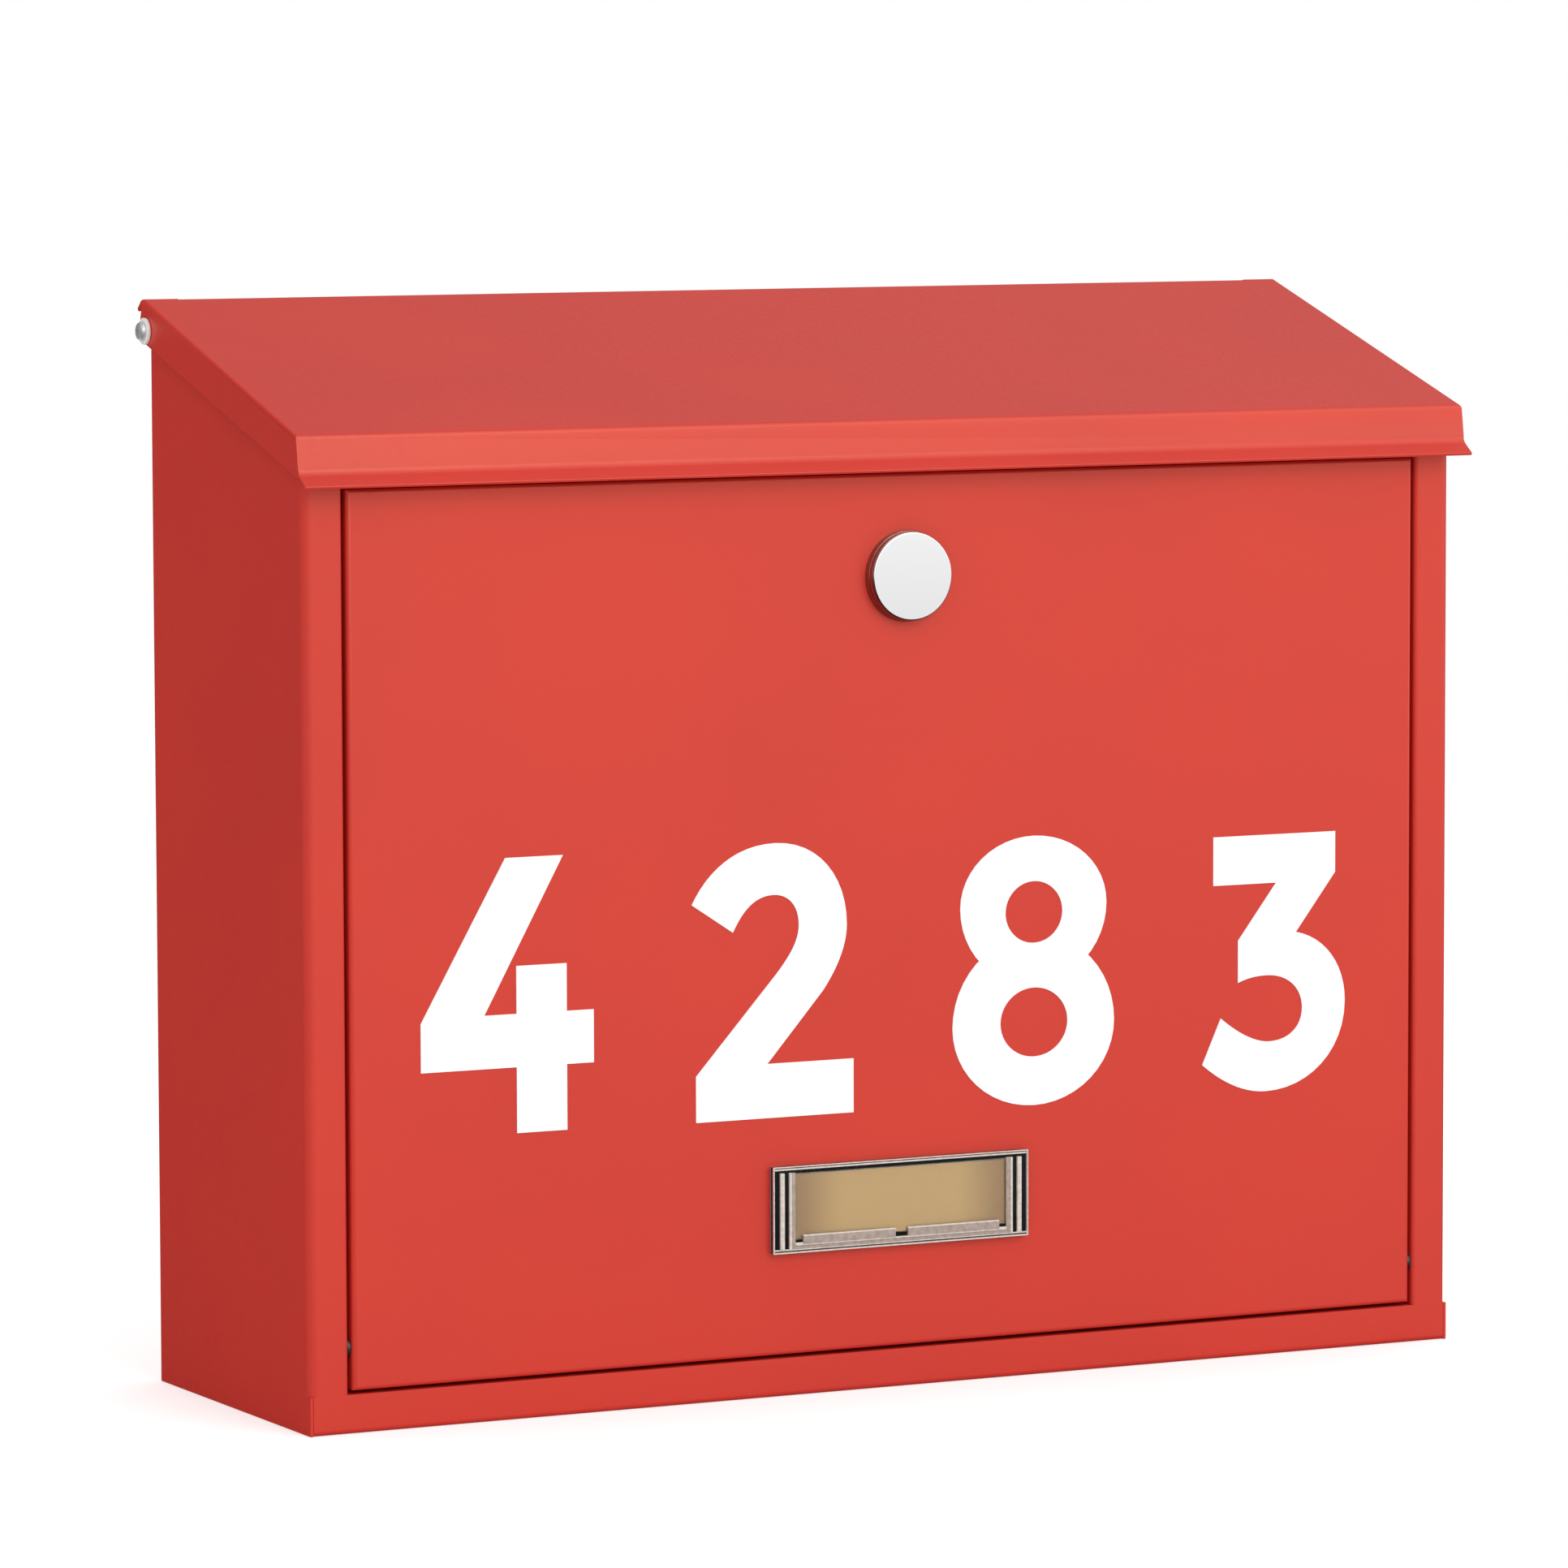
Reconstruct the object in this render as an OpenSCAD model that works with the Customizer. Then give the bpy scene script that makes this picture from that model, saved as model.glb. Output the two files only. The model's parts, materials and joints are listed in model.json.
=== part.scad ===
// Wall letter box of folded steel sheet: a sloping lid hinged at the back,
// a front door hinged at the bottom with a cam lock, stuck-on house numbers
// and a clear name plate. +Z is up and the front faces -Y. The origin is the
// middle of the four wall holes, on the wall's surface. The box itself is
// drawn from its own base and back panel, and seated() moves it there.

/* [Body] */
// Width across the outside of the body
body_w = 374.4; // [300:0.2:440]
// Depth from the back panel's outer face to the front face
body_d = 112.6; // [100:0.2:150]
// Thickness of the steel sheet
sheet = 1; // [0.8:0.1:1.2]
// Width of the folded flange on each side of the front
flange_w = 12; // [10:0.5:16]
// Depth of the folds that turn back from the front flanges and the sill
return_d = 12; // [10:0.5:14]
// Height of the sill, which is the bottom sheet's upturned front
sill_h = 11.2; // [9:0.2:16]
// Height of the bottom sheet's flanges inside the body
pan_flange_h = 12; // [8:0.5:20]
// Outer radius of the upright folds at the back
back_fold_r = 3.5; // [1.5:0.1:5]
// Outer radius of the upright folds at the front
front_fold_r = 3; // [1.5:0.1:4]
// Outer radius of the tighter folds
tight_fold_r = 1.5; // [1.3:0.1:2]

/* [Wall fixing] */
// Distance between the wall holes, side to side
wall_pitch_x = 300; // [220:1:320]
// Distance between the wall holes, up and down
wall_pitch_z = 190; // [140:1:210]
// Height of the middle of the wall holes above the base
wall_mid = 155; // [135:1:165]
// Diameter of the wall holes
wall_hole_d = 7; // [5:0.1:9]
// Thickness of the rubber spacers between the back panel and the wall
spacer_t = 5; // [4.5:0.1:8]
// Diameter of the rubber spacers
spacer_d = 16; // [14:0.5:24]

/* [Lid] */
// Slope of the lid from the back down to the front
lid_pitch = 17.48; // [16:0.01:19]
// Height of the lid's hinge line above the base
pivot_h = 308.6; // [290:0.1:330]
// Distance of the lid's hinge line in front of the back panel's outer face
pivot_set = 6; // [5.6:0.1:7]
// Distance from the hinge line up to the lid's top face
lid_rise = 8; // [7.8:0.1:8.6]
// Gap between the body's side and the lid's side flange
lid_side_gap = 1.8; // [1.2:0.1:2.4]
// Gap between the body's front face and the inside of the lid's front
lid_front_gap = 0.8; // [0.7:0.1:1.6]
// Gap between the lid's underside and the top edges of the body
lid_gap = 1.5; // [1:0.1:2]
// Height of the back panel's top edge above the lid's hinge line
back_rise = 1.5; // [0:0.1:1.8]
// Depth of the lid's side flange at the front, top face to lower edge
lid_flange_front = 11.6; // [9:0.1:14]
// Depth of the lid's side flange at the back, top face to lower edge
lid_flange_back = 12.4; // [11:0.1:14]
// Height of the lid's front face
lid_front_h = 10.75; // [9:0.05:14]
// How far the front face leans out from upright, in degrees
lid_front_lean = 8.5; // [4:0.5:12]
// Length of the lip that flares out under the front face
lip_len = 5.9; // [4:0.1:9]
// Angle of the lip below level, in degrees
lip_angle = 35; // [25:1:50]
// Distance of the lid's back edge in front of the back panel's outer face
lid_back_set = 3; // [2.6:0.1:3.6]
// Length of the drip flange behind the lid's back edge
drip_len = 4.8; // [4:0.1:5.2]
// Angle of the drip flange below level, in degrees
drip_angle = 40; // [36:1:46]
// Length of each crisply folded end of the lid's back edge
lid_end_w = 11; // [6:0.5:20]
// Outer radius of the lid's back fold between those ends
lid_back_r = 3; // [1.5:0.1:3.5]
// Outer radius of the fold between the lid's top and front
lid_front_r = 1.8; // [1.3:0.1:2.5]
// Outer radius of the folds between the lid's top and its side flanges
lid_side_r = 1; // [0.5:0.1:1.3]
// Radius of the hollow fold above the lip
lip_fold_r = 3; // [1:0.1:3.4]

/* [Lid hinge] */
// Diameter of the hinge screw's shank
screw_d = 3; // [2.5:0.1:4]
// Radial clearance of every hole round a shank or pin
fit = 0.05; // [0.03:0.01:0.08]
// Diameter of the hinge screw's head
screw_head_d = 5.5; // [5.2:0.1:7]
// Height of the hinge screw's head
screw_head_h = 1.6; // [1.4:0.1:2.4]
// Length and width of each bar of the cross recess in the hinge screw's head
recess_size = [3, 0.9]; // [0.5:0.1:4]
// Depth of the cross recess
recess_depth = 0.9; // [0.5:0.1:1]
// Diameter of the nylon washers on both sides of the lid's flange
washer_d = 7.8; // [7.2:0.1:9]
// Thickness of the outer nylon washer
washer_t = 1; // [0.6:0.1:1.4]
// Play along each hinge screw and pin, on each side of the turning sheet
play = 0.1; // [0.05:0.01:0.2]
// Distance across the flats of the hinge nut
nut_af = 5.5; // [5.3:0.1:7]
// Thickness of the hinge nut
nut_t = 2.4; // [1.8:0.1:3]

/* [Door] */
// Gap down each side of the door
door_gap = 1.2; // [0.9:0.05:2]
// Gap between the door and the sill below it
door_low_gap = 1; // [0.9:0.05:2]
// Gap between the door and the rail above it
door_top_gap = 0.7; // [0.5:0.05:1.5]
// Height of the lid's lip above the door's top edge
lip_gap = 0.6; // [0.5:0.05:2]
// Depth of the door's folded edges
door_d = 10; // [9:0.5:12]
// Outer radius of the door's folded edges
door_fold_r = 1.3; // [1.2:0.05:1.4]
// Distance of the door's hinge line behind the front face
door_pivot_set = 4; // [3.8:0.1:4.2]
// Height of the door's hinge line above the door's lower edge
door_pivot_up = 12; // [11:0.1:14]
// Diameter of the door's hinge pins
pin_d = 3; // [2.5:0.1:3.2]
// Diameter of the head on the inner end of a hinge pin
pin_head_d = 5; // [4.6:0.1:5.2]
// Diameter of the riveted outer end of a hinge pin
pin_tail_d = 4.4; // [4:0.1:4.8]
// Thickness of the head and of the riveted end of a hinge pin
pin_head_t = 1.2; // [0.8:0.1:1.8]
// Diameter of the washer on each hinge pin
door_washer_d = 6; // [5:0.1:7]

/* [Top rail] */
// Depth of the rail's two flanges
rail_d = 14; // [13:0.5:18]
// Height of the lip under the rail that the lock's cam catches
catch_h = 11.5; // [9:0.5:13]

/* [Lock] */
// Place of the lock to the right of the door's middle
lock_x = 3; // [-60:0.5:60]
// Distance of the lock's centre below the door's top edge
lock_drop = 29.8; // [27:0.1:40]
// Diameter of the lock's collar and of the cover in front of it
lock_d = 27; // [25.5:0.5:30]
// Thickness of the lock's collar
collar_t = 1.9; // [1.8:0.1:3]
// Thickness of the cover
cover_t = 2; // [1.5:0.1:3]
// Gap between the collar and the cover
cover_gap = 0.15; // [0.1:0.05:0.3]
// Width of the bevel round the cover's face
cover_bevel = 1; // [0.5:0.1:1.4]
// Depth of the bevel round the cover's face
cover_bevel_t = 0.7; // [0.4:0.1:1]
// Diameter of the peg that the cover swings on
peg_d = 2; // [1.6:0.1:2.2]
// Distance of the peg above the lock's centre
peg_up = 10.4; // [10:0.1:10.8]
// Depth of the peg in the collar
peg_depth = 1.4; // [1:0.1:1.5]
// Diameter of the lock's threaded barrel
barrel_d = 18.8; // [17:0.1:19]
// Distance from the barrel's end to the cam's front
barrel_cam_gap = 0.2; // [0.1:0.05:0.3]
// Diameter of the key plug
plug_d = 12; // [10:0.1:12.4]
// Diameter of the key plug's face, which keeps it from sliding back
plug_face_d = 14; // [13:0.1:15]
// Thickness of the key plug's face
plug_face_t = 1; // [0.8:0.1:1.2]
// Length and width of the key slot
key_slot = [7.5, 1.6]; // [1:0.1:9]
// Depth of the key slot
key_slot_d = 9; // [6:0.5:10]
// Distance across the flats of the lock's nut
lock_nut_af = 23; // [22:0.5:26]
// Thickness of the lock's nut
lock_nut_t = 3; // [2:0.1:5]
// Width of the cam
cam_w = 14; // [12:0.5:18]
// Thickness of the cam
cam_t = 2; // [1.5:0.1:3]
// Gap between the cam and the rail's catch, front to back
cam_gap = 0.6; // [0.4:0.05:1]
// Distance from the cam's tip up to the rail when it is locked
cam_tip_gap = 3.5; // [2.5:0.1:6]
// Side of the square that drives the cam
square_w = 6; // [5:0.1:6.6]
// Diameter of the cam screw's shank
cam_screw_d = 4; // [3:0.1:4.2]
// Length of the cam screw's shank inside the plug
cam_screw_len = 4; // [3:0.5:5]
// Diameter of the cam screw's head
cam_screw_head_d = 8; // [7.5:0.1:9]
// Thickness of the cam screw's head
cam_screw_head_t = 2.4; // [2:0.1:3]

/* [Name plate] */
// Width and height of the name plate
plate_size = [83.8, 25.4]; // [20:0.1:100]
// Place of the plate's lower edge above the door's lower edge
plate_up = 29.9; // [28:0.1:45]
// Thickness of the plate's backing
plate_back_t = 0.6; // [0.4:0.1:1]
// Thickness of the name card
card_t = 0.4; // [0.2:0.1:0.5]
// Width and height of the name card
card_size = [70.4, 17.4]; // [10:0.1:80]
// Thickness of the clear window over the card
window_t = 1.5; // [1:0.1:2.5]
// Width and height of the pocket in the plate's rim
pocket_size = [71, 18]; // [12:0.1:84]
// Width and height of the notch between the two thumb tabs at the bottom
notch_size = [4.3, 2]; // [1:0.1:8]

/* [Numbers] */
// Height of a tall figure
number_h = 79; // [60:1:90]
// Left edge of each figure, from the door's middle
number_x = [-152.4, -66.9, 17.9, 101.9]; // [-170:0.1:170]
// Lower edge of each figure above the door's lower edge
number_up = [70.3, 69.6, 68, 67.3]; // [60:0.1:100]
// Thickness of the stuck-on figures
number_t = 0.25; // [0.1:0.05:0.5]

/* [Hidden] */

$fn = 64;
// Segments in a fold, in a quarter of a figure's ellipse and in a figure's curve
fold_steps = 6;
curve_steps = 12;
// Overshoot of a cutting shape past the face that it cuts
past = 1;

// Colours of the finishes
red_coat = "#D2483D";
zinc = "#B9BCC0";
chrome = "#D8DADD";
nylon = "#F1F1EC";
black_nylon = "#1B1B1D";
dark_foam = "#343236";
rubber = "#26262A";
vinyl = "#FFFFFF";
card_colour = "#C6A66F";
clear = [0.85, 0.88, 0.9, 0.4];

// Points of the side view are [y, z] from the back panel's foot
pivot = [-pivot_set, pivot_h];
front_y = -body_d;
opening_w = body_w - 2 * flange_w;
ear_r = lid_rise - sheet - lid_gap;
back_h = pivot_h + back_rise;

// The lid's top line climbs towards the back at lid_pitch
function lid_top(y) = pivot_h + lid_rise / cos(lid_pitch) + (y + pivot_set) * tan(lid_pitch);
lid_front_y = front_y - lid_front_gap - sheet;
lid_front_top = [lid_front_y, lid_top(lid_front_y)];
lid_fold = lid_front_top - lid_front_h * [tan(lid_front_lean), 1];
lip_end = lid_fold - lip_len * [cos(lip_angle), sin(lip_angle)];
lid_apex = [-lid_back_set, lid_top(-lid_back_set)];
drip_tip = lid_apex + drip_len * [cos(drip_angle), -sin(drip_angle)];
lid_w = body_w + 2 * (lid_side_gap + sheet);

// The door fills the opening between the sill and the rail
lip_low = lip_end[1] - sheet * cos(lip_angle);
door_low = sill_h + door_low_gap;
door_high = lip_low - lip_gap;
door_w = opening_w - 2 * door_gap;
door_pivot = [front_y + door_pivot_set, door_low + door_pivot_up];
rail_low = door_high + door_top_gap;

// The lock's stack from the collar's front to the cam
lock_z = door_high - lock_drop;
catch_y = front_y + rail_d;
cam_front = catch_y + sheet + cam_gap;
barrel_end = cam_front - barrel_cam_gap;
cam_len = rail_low - cam_tip_gap - lock_z;

// The name plate's front, and the window's face round the pocket
plate_z = door_low + plate_up + plate_size[1] / 2;
window_front = plate_back_t + card_t + window_t;

// Direction and side of a line in a flat drawing
function unit(v) = v / norm(v);
function left_of(v) = [-v[1], v[0]];

// Points of a rounded corner b between the lines from a and to c
function corner(a, b, c, r) = r == 0 ? [b] :
    let (u = unit(a - b), w = unit(c - b), half = acos(u * w) / 2)
    let (mid = b + unit(u + w) * r / sin(half), from = b + u * r / tan(half) - mid)
    let (start = atan2(from[1], from[0]), side = sign(cross(b - a, c - b)))
    [for (i = [0 : fold_steps])
        let (turn = start + side * (180 - 2 * half) * i / fold_steps)
        mid + r * [cos(turn), sin(turn)]];

// A bent line through corners, each rounded by its own radius
function route(corners, radii) = concat(
    [corners[0]],
    [for (i = [1 : len(corners) - 2], p = corner(corners[i - 1], corners[i], corners[i + 1],
        radii[i - 1])) p],
    [corners[len(corners) - 1]]);

// The same line moved to its left by t
function beside(line, t) = [for (i = [0 : len(line) - 1])
    let (n1 = left_of(unit(line[max(i, 1)] - line[max(i, 1) - 1])))
    let (n2 = left_of(unit(line[min(i, len(line) - 2) + 1] - line[min(i, len(line) - 2)])))
    let (m = unit(n1 + n2))
    line[i] + m * t / (m * n1)];

// Outline of a folded sheet whose outer face follows the corners
function folded(corners, radii, t) =
    let (outer = route(corners, radii), inner = beside(outer, t))
    concat(outer, [for (i = [len(inner) - 1 : -1 : 0]) inner[i]]);

// Points of a cubic curve from a to d, without its end point
function curve(a, b, c, d) = [for (i = [0 : curve_steps - 1])
    let (s = i / curve_steps, k = 1 - s)
    k * k * k * a + 3 * k * k * s * b + 3 * k * s * s * c + s * s * s * d];

// Points of an egg-shaped ring: half width, height above and depth below its middle
function egg(mid, half_w, above, below) = [for (i = [0 : 4 * curve_steps - 1])
    let (turn = 90 * i / curve_steps)
    mid + [half_w * cos(turn), (sin(turn) > 0 ? above : below) * sin(turn)]];

// Moves the box from its own base and back panel to the wall holes' middle
module seated() translate([0, -spacer_t, -wall_mid]) children();

// Side view to a solid of width w across the box
module across(w) rotate([90, 0, 90]) linear_extrude(w, center = true) children();

// Front view to a solid that starts at y and stands d towards the front
module forward(y, d) translate([0, y, 0]) rotate([90, 0, 0]) linear_extrude(d) children();

// A round bar along X, from x over length l
module bar_x(p, x, l, d) translate([x, p[0], p[1]]) rotate([0, 90, 0]) cylinder(d = d, h = l);

// A round bar along Y, from y over length l towards the back
module bar_y(x, z, y, l, d) translate([x, y, z]) rotate([-90, 0, 0]) cylinder(d = d, h = l);

// Both sides of what is drawn on the right
module on_side(side) mirror([side < 0 ? 1 : 0, 0, 0]) children();

// Side view of the body, cut down behind the hinge line so that the lid can swing
module body_side() {
    top_front = lid_top(front_y) - (sheet + lid_gap) / cos(lid_pitch);
    top_pivot = lid_top(-pivot_set) - (sheet + lid_gap) / cos(lid_pitch);
    polygon([[0, 0], [0, back_h], [-pivot_set, back_h], [-pivot_set, top_pivot],
        [front_y, top_front], [front_y, 0]]);
}

// Side view of the flat ear about a hinge screw, clear of the back fold
module ear_side() intersection() {
    translate(pivot) circle(ear_r);
    translate([-body_d, 0]) square([body_d - back_fold_r, pivot_h + ear_r]);
}

// Back, sides and front flanges, folded from one sheet
module body_wrap() {
    half = body_w / 2;
    edge = opening_w / 2;
    upper = [[edge, front_y + return_d], [edge, front_y], [half, front_y], [half, 0],
        [-half, 0], [-half, front_y], [-edge, front_y], [-edge, front_y + return_d]];
    lower = [[half, front_y], [half, 0], [-half, 0], [-half, front_y]];
    color(red_coat) seated() difference() {
        union() {
            intersection() {
                union() {
                    translate([0, 0, sill_h]) linear_extrude(pivot_h)
                        polygon(folded(upper, [tight_fold_r, front_fold_r, back_fold_r,
                            back_fold_r, front_fold_r, tight_fold_r], sheet));
                    linear_extrude(sill_h)
                        polygon(folded(lower, [back_fold_r, back_fold_r], sheet));
                }
                across(body_w + past) body_side();
            }
            for (side = [-1, 1]) translate([side * (half - sheet / 2), 0, 0])
                across(sheet) ear_side();
        }
        bar_x(pivot, -half - past, body_w + 2 * past, screw_d + 2 * fit);
        bar_x(door_pivot, -edge - sheet - past, opening_w + 2 * (sheet + past), pin_d + 2 * fit);
        for (x = [-1, 1], z = [-1, 1])
            bar_y(x * wall_pitch_x / 2, wall_mid + z * wall_pitch_z / 2, -sheet - past,
                sheet + 2 * past, wall_hole_d);
    }
}

// Bottom sheet: floor, upturned sill and inner flanges. The sill has its own
// return under the door. The back corners are cut clear of the body's back folds.
module bottom_pan() {
    side = body_w / 2 - sheet;
    section = [[front_y, sill_h], [front_y, 0], [-sheet, 0], [-sheet, pan_flange_h]];
    under_door = concat([[front_y + return_d, sill_h]], section);
    plan = [[side, front_y], [side, -sheet], [-side, -sheet], [-side, front_y]];
    flange_front = front_y + return_d + sheet;
    flange_l = -sheet - back_fold_r - flange_front;
    color(red_coat) seated() {
        intersection() {
            union() {
                across(opening_w)
                    polygon(folded(under_door, [tight_fold_r, tight_fold_r, tight_fold_r], sheet));
                across(2 * side) polygon(folded(section, [tight_fold_r, tight_fold_r], sheet));
            }
            linear_extrude(max(sill_h, pan_flange_h))
                polygon(route(plan, [back_fold_r, back_fold_r]));
        }
        for (x = [-side, side - sheet]) translate([x, flange_front, 0])
            cube([sheet, flange_l, pan_flange_h]);
    }
}

// Cross rail over the door, with the lip that the cam catches behind
module top_rail() {
    top = lid_top(front_y) - (sheet + lid_gap) / cos(lid_pitch);
    section = [[front_y + rail_d, top + rail_d * tan(lid_pitch)], [front_y, top],
        [front_y, rail_low], [catch_y, rail_low], [catch_y, rail_low - catch_h]];
    color(red_coat) seated() across(opening_w)
        polygon(folded(section, [tight_fold_r, tight_fold_r, 0], sheet));
}

// Rubber rings that hold the box off the wall, so that the lid can swing
module wall_spacers() {
    color(rubber)
        for (x = [-1, 1], z = [-1, 1])
            translate([x * wall_pitch_x / 2, 0, z * wall_pitch_z / 2])
                rotate([90, 0, 0]) difference() {
                    cylinder(d = spacer_d, h = spacer_t);
                    translate([0, 0, -past]) cylinder(d = wall_hole_d, h = spacer_t + 2 * past);
                }
}

// All that lies under the lid's top face and between the rounded folds at its sides
module under_lid_top() {
    half = lid_w / 2;
    behind = [drip_tip[0] + past, lid_top(drip_tip[0] + past)];
    slope_l = norm(behind - lip_end) + past;
    depth = lid_flange_back + lid_front_h + lip_len;
    translate([0, behind[0], behind[1]]) rotate([90 + lid_pitch, 0, 0])
        linear_extrude(slope_l) polygon(route(
            [[-half, -depth], [-half, 0], [half, 0], [half, -depth]], [lid_side_r, lid_side_r]));
}

// Lid: one folded sheet with a drip flange, side flanges and a flared lip
module lid() {
    corners = [drip_tip, lid_apex, lid_front_top, lid_fold, lip_end];
    half = lid_w / 2;
    crisp = tight_fold_r;
    flange_back = [0, lid_top(0) - lid_flange_back];
    flange_top = [-lid_back_set, lid_top(-lid_back_set) - sheet];
    flange_front = [lid_fold[0], lid_top(lid_fold[0]) - lid_flange_front];
    color(red_coat) seated() difference() {
        intersection() {
            union() {
                across(lid_w - 2 * lid_end_w)
                    polygon(folded(corners, [lid_back_r, lid_front_r, lip_fold_r], sheet));
                for (side = [-1, 1]) {
                    translate([side * (half - lid_end_w / 2), 0, 0]) across(lid_end_w)
                        polygon(folded(corners, [crisp, lid_front_r, lip_fold_r], sheet));
                    translate([side * (half - sheet / 2), 0, 0]) across(sheet)
                        polygon([flange_top, flange_back, flange_front,
                            lid_fold + [sheet / 2, sheet], lid_front_top + [sheet / 2, -sheet]]);
                }
            }
            under_lid_top();
        }
        bar_x(pivot, -half - past, lid_w + 2 * past, screw_d + 2 * fit);
    }
}

// Where the pieces on a lid hinge screw lie, outwards from the body's side
lid_outer = lid_w / 2;
head_x = lid_outer + 2 * play + washer_t;
nut_x = body_w / 2 - sheet - nut_t;

// Pan-head hinge screw with a cross recess
module lid_screw() {
    half_view = [[0, 0], [1, 0], [1, 0.45], [0.88, 0.8], [0.6, 1], [0, 1]];
    difference() {
        union() {
            bar_x(pivot, nut_x - sheet, head_x - nut_x + sheet, screw_d);
            translate([head_x, pivot[0], pivot[1]]) rotate([0, 90, 0]) rotate_extrude()
                polygon([for (p = half_view) [p[0] * screw_head_d / 2, p[1] * screw_head_h]]);
        }
        for (turn = [45, 135])
            translate([head_x + screw_head_h, pivot[0], pivot[1]]) rotate([turn, 0, 0])
                cube([2 * recess_depth, recess_size[1], recess_size[0]], center = true);
    }
}
module lid_screw_left() color(zinc) seated() on_side(-1) lid_screw();
module lid_screw_right() color(zinc) seated() on_side(1) lid_screw();

// A flat ring on a bar along X
module ring_x(p, x, l, outer, hole) difference() {
    bar_x(p, x, l, outer);
    bar_x(p, x - past, l + 2 * past, hole + 2 * fit);
}

// Nylon washer between the screw's head and the lid
module lid_washer() ring_x(pivot, lid_outer + play, washer_t, washer_d, screw_d);
module lid_washer_left() color(nylon) seated() on_side(-1) lid_washer();
module lid_washer_right() color(nylon) seated() on_side(1) lid_washer();

// Nylon bush that keeps the lid's flange off the body's side
module lid_bush() ring_x(pivot, body_w / 2, lid_side_gap - play, washer_d, screw_d);
module lid_bush_left() color(nylon) seated() on_side(-1) lid_bush();
module lid_bush_right() color(nylon) seated() on_side(1) lid_bush();

// Hexagon nut inside the body
module lid_nut() difference() {
    translate([nut_x, pivot[0], pivot[1]]) rotate([0, 90, 0])
        cylinder(d = nut_af / cos(30), h = nut_t, $fn = 6);
    bar_x(pivot, nut_x - past, nut_t + 2 * past, screw_d + 2 * fit);
}
module lid_nut_left() color(zinc) seated() on_side(-1) lid_nut();
module lid_nut_right() color(zinc) seated() on_side(1) lid_nut();

// Door: a shallow tray with all four edges folded back
module door_panel() {
    high = door_high - door_low;
    back = front_y + door_d;
    side_view = [[back, door_low], [front_y, door_low], [front_y, door_high], [back, door_high]];
    plan = [[door_w / 2, back], [door_w / 2, front_y], [-door_w / 2, front_y],
        [-door_w / 2, back]];
    color(red_coat) seated() difference() {
        intersection() {
            across(door_w) polygon(route(side_view, [door_fold_r, door_fold_r]));
            translate([0, 0, door_low - past]) linear_extrude(high + 2 * past)
                polygon(route(plan, [door_fold_r, door_fold_r]));
        }
        translate([-door_w / 2 + sheet, front_y + sheet, door_low + sheet])
            cube([door_w - 2 * sheet, door_d + past, high - 2 * sheet]);
        bar_x(door_pivot, -door_w / 2 - past, door_w + 2 * past, pin_d + 2 * fit);
        bar_y(lock_x, lock_z, front_y - past, sheet + 2 * past, barrel_d + 2 * fit);
    }
}

// Headed hinge pin through the door's folded edge, riveted in the body's return
module door_pin() {
    inner = door_w / 2 - sheet - play;
    outer = opening_w / 2 + sheet;
    bar_x(door_pivot, inner - pin_head_t, pin_head_t, pin_head_d);
    bar_x(door_pivot, inner - pin_head_t / 2, outer - inner + pin_head_t, pin_d);
    bar_x(door_pivot, outer, pin_head_t, pin_tail_d);
}
module door_pin_left() color(zinc) seated() on_side(-1) door_pin();
module door_pin_right() color(zinc) seated() on_side(1) door_pin();

// Black nylon washer that keeps the door midway in its opening
module door_washer() ring_x(door_pivot, door_w / 2 + play, door_gap - play, door_washer_d, pin_d);
module door_washer_left() color(black_nylon) seated() on_side(-1) door_washer();
module door_washer_right() color(black_nylon) seated() on_side(1) door_washer();

// Lock housing: collar on the door's front and a barrel through the door
module lock_housing() {
    collar_front = front_y - collar_t;
    color(chrome) seated() difference() {
        union() {
            bar_y(lock_x, lock_z, collar_front, collar_t, lock_d);
            bar_y(lock_x, lock_z, collar_front, barrel_end - collar_front, barrel_d);
        }
        bar_y(lock_x, lock_z, collar_front - past, barrel_end - collar_front + 2 * past,
            plug_d + 2 * fit);
        bar_y(lock_x, lock_z, collar_front - past, plug_face_t + fit + past,
            plug_face_d + 2 * fit);
        bar_y(lock_x, lock_z + peg_up, collar_front - past, peg_depth + fit + past,
            peg_d + 2 * fit);
    }
}

// Hexagon nut that clamps the lock to the door
module lock_nut() {
    back = front_y + sheet;
    color(zinc) seated() difference() {
        translate([lock_x, back, lock_z]) rotate([-90, 0, 0])
            cylinder(d = lock_nut_af / cos(30), h = lock_nut_t, $fn = 6);
        bar_y(lock_x, lock_z, back - past, lock_nut_t + 2 * past, barrel_d + 2 * fit);
    }
}

// Key plug with its slot, ending in the square that drives the cam
module lock_plug() {
    face = front_y - collar_t;
    color(zinc) seated() difference() {
        union() {
            bar_y(lock_x, lock_z, face, plug_face_t, plug_face_d);
            bar_y(lock_x, lock_z, face, barrel_end - face, plug_d);
            translate([lock_x - square_w / 2, barrel_end - past, lock_z - square_w / 2])
                cube([square_w, cam_front + cam_t - barrel_end + past, square_w]);
        }
        translate([lock_x - key_slot[1] / 2, face - past, lock_z - key_slot[0] / 2])
            cube([key_slot[1], key_slot_d + past, key_slot[0]]);
        bar_y(lock_x, lock_z, cam_front + cam_t - cam_screw_len, cam_screw_len + past,
            cam_screw_d + 2 * fit);
    }
}

// Cam, drawn unlocked: it points to the left and turns up behind the rail's catch
module lock_cam() {
    color(zinc) seated() difference() {
        forward(cam_front + cam_t, cam_t) translate([lock_x, lock_z]) {
            circle(d = cam_w);
            translate([-cam_len, -cam_w / 2]) square([cam_len, cam_w]);
        }
        translate([lock_x - square_w / 2 - fit, cam_front - past, lock_z - square_w / 2 - fit])
            cube([square_w + 2 * fit, cam_t + 2 * past, square_w + 2 * fit]);
    }
}

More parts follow.
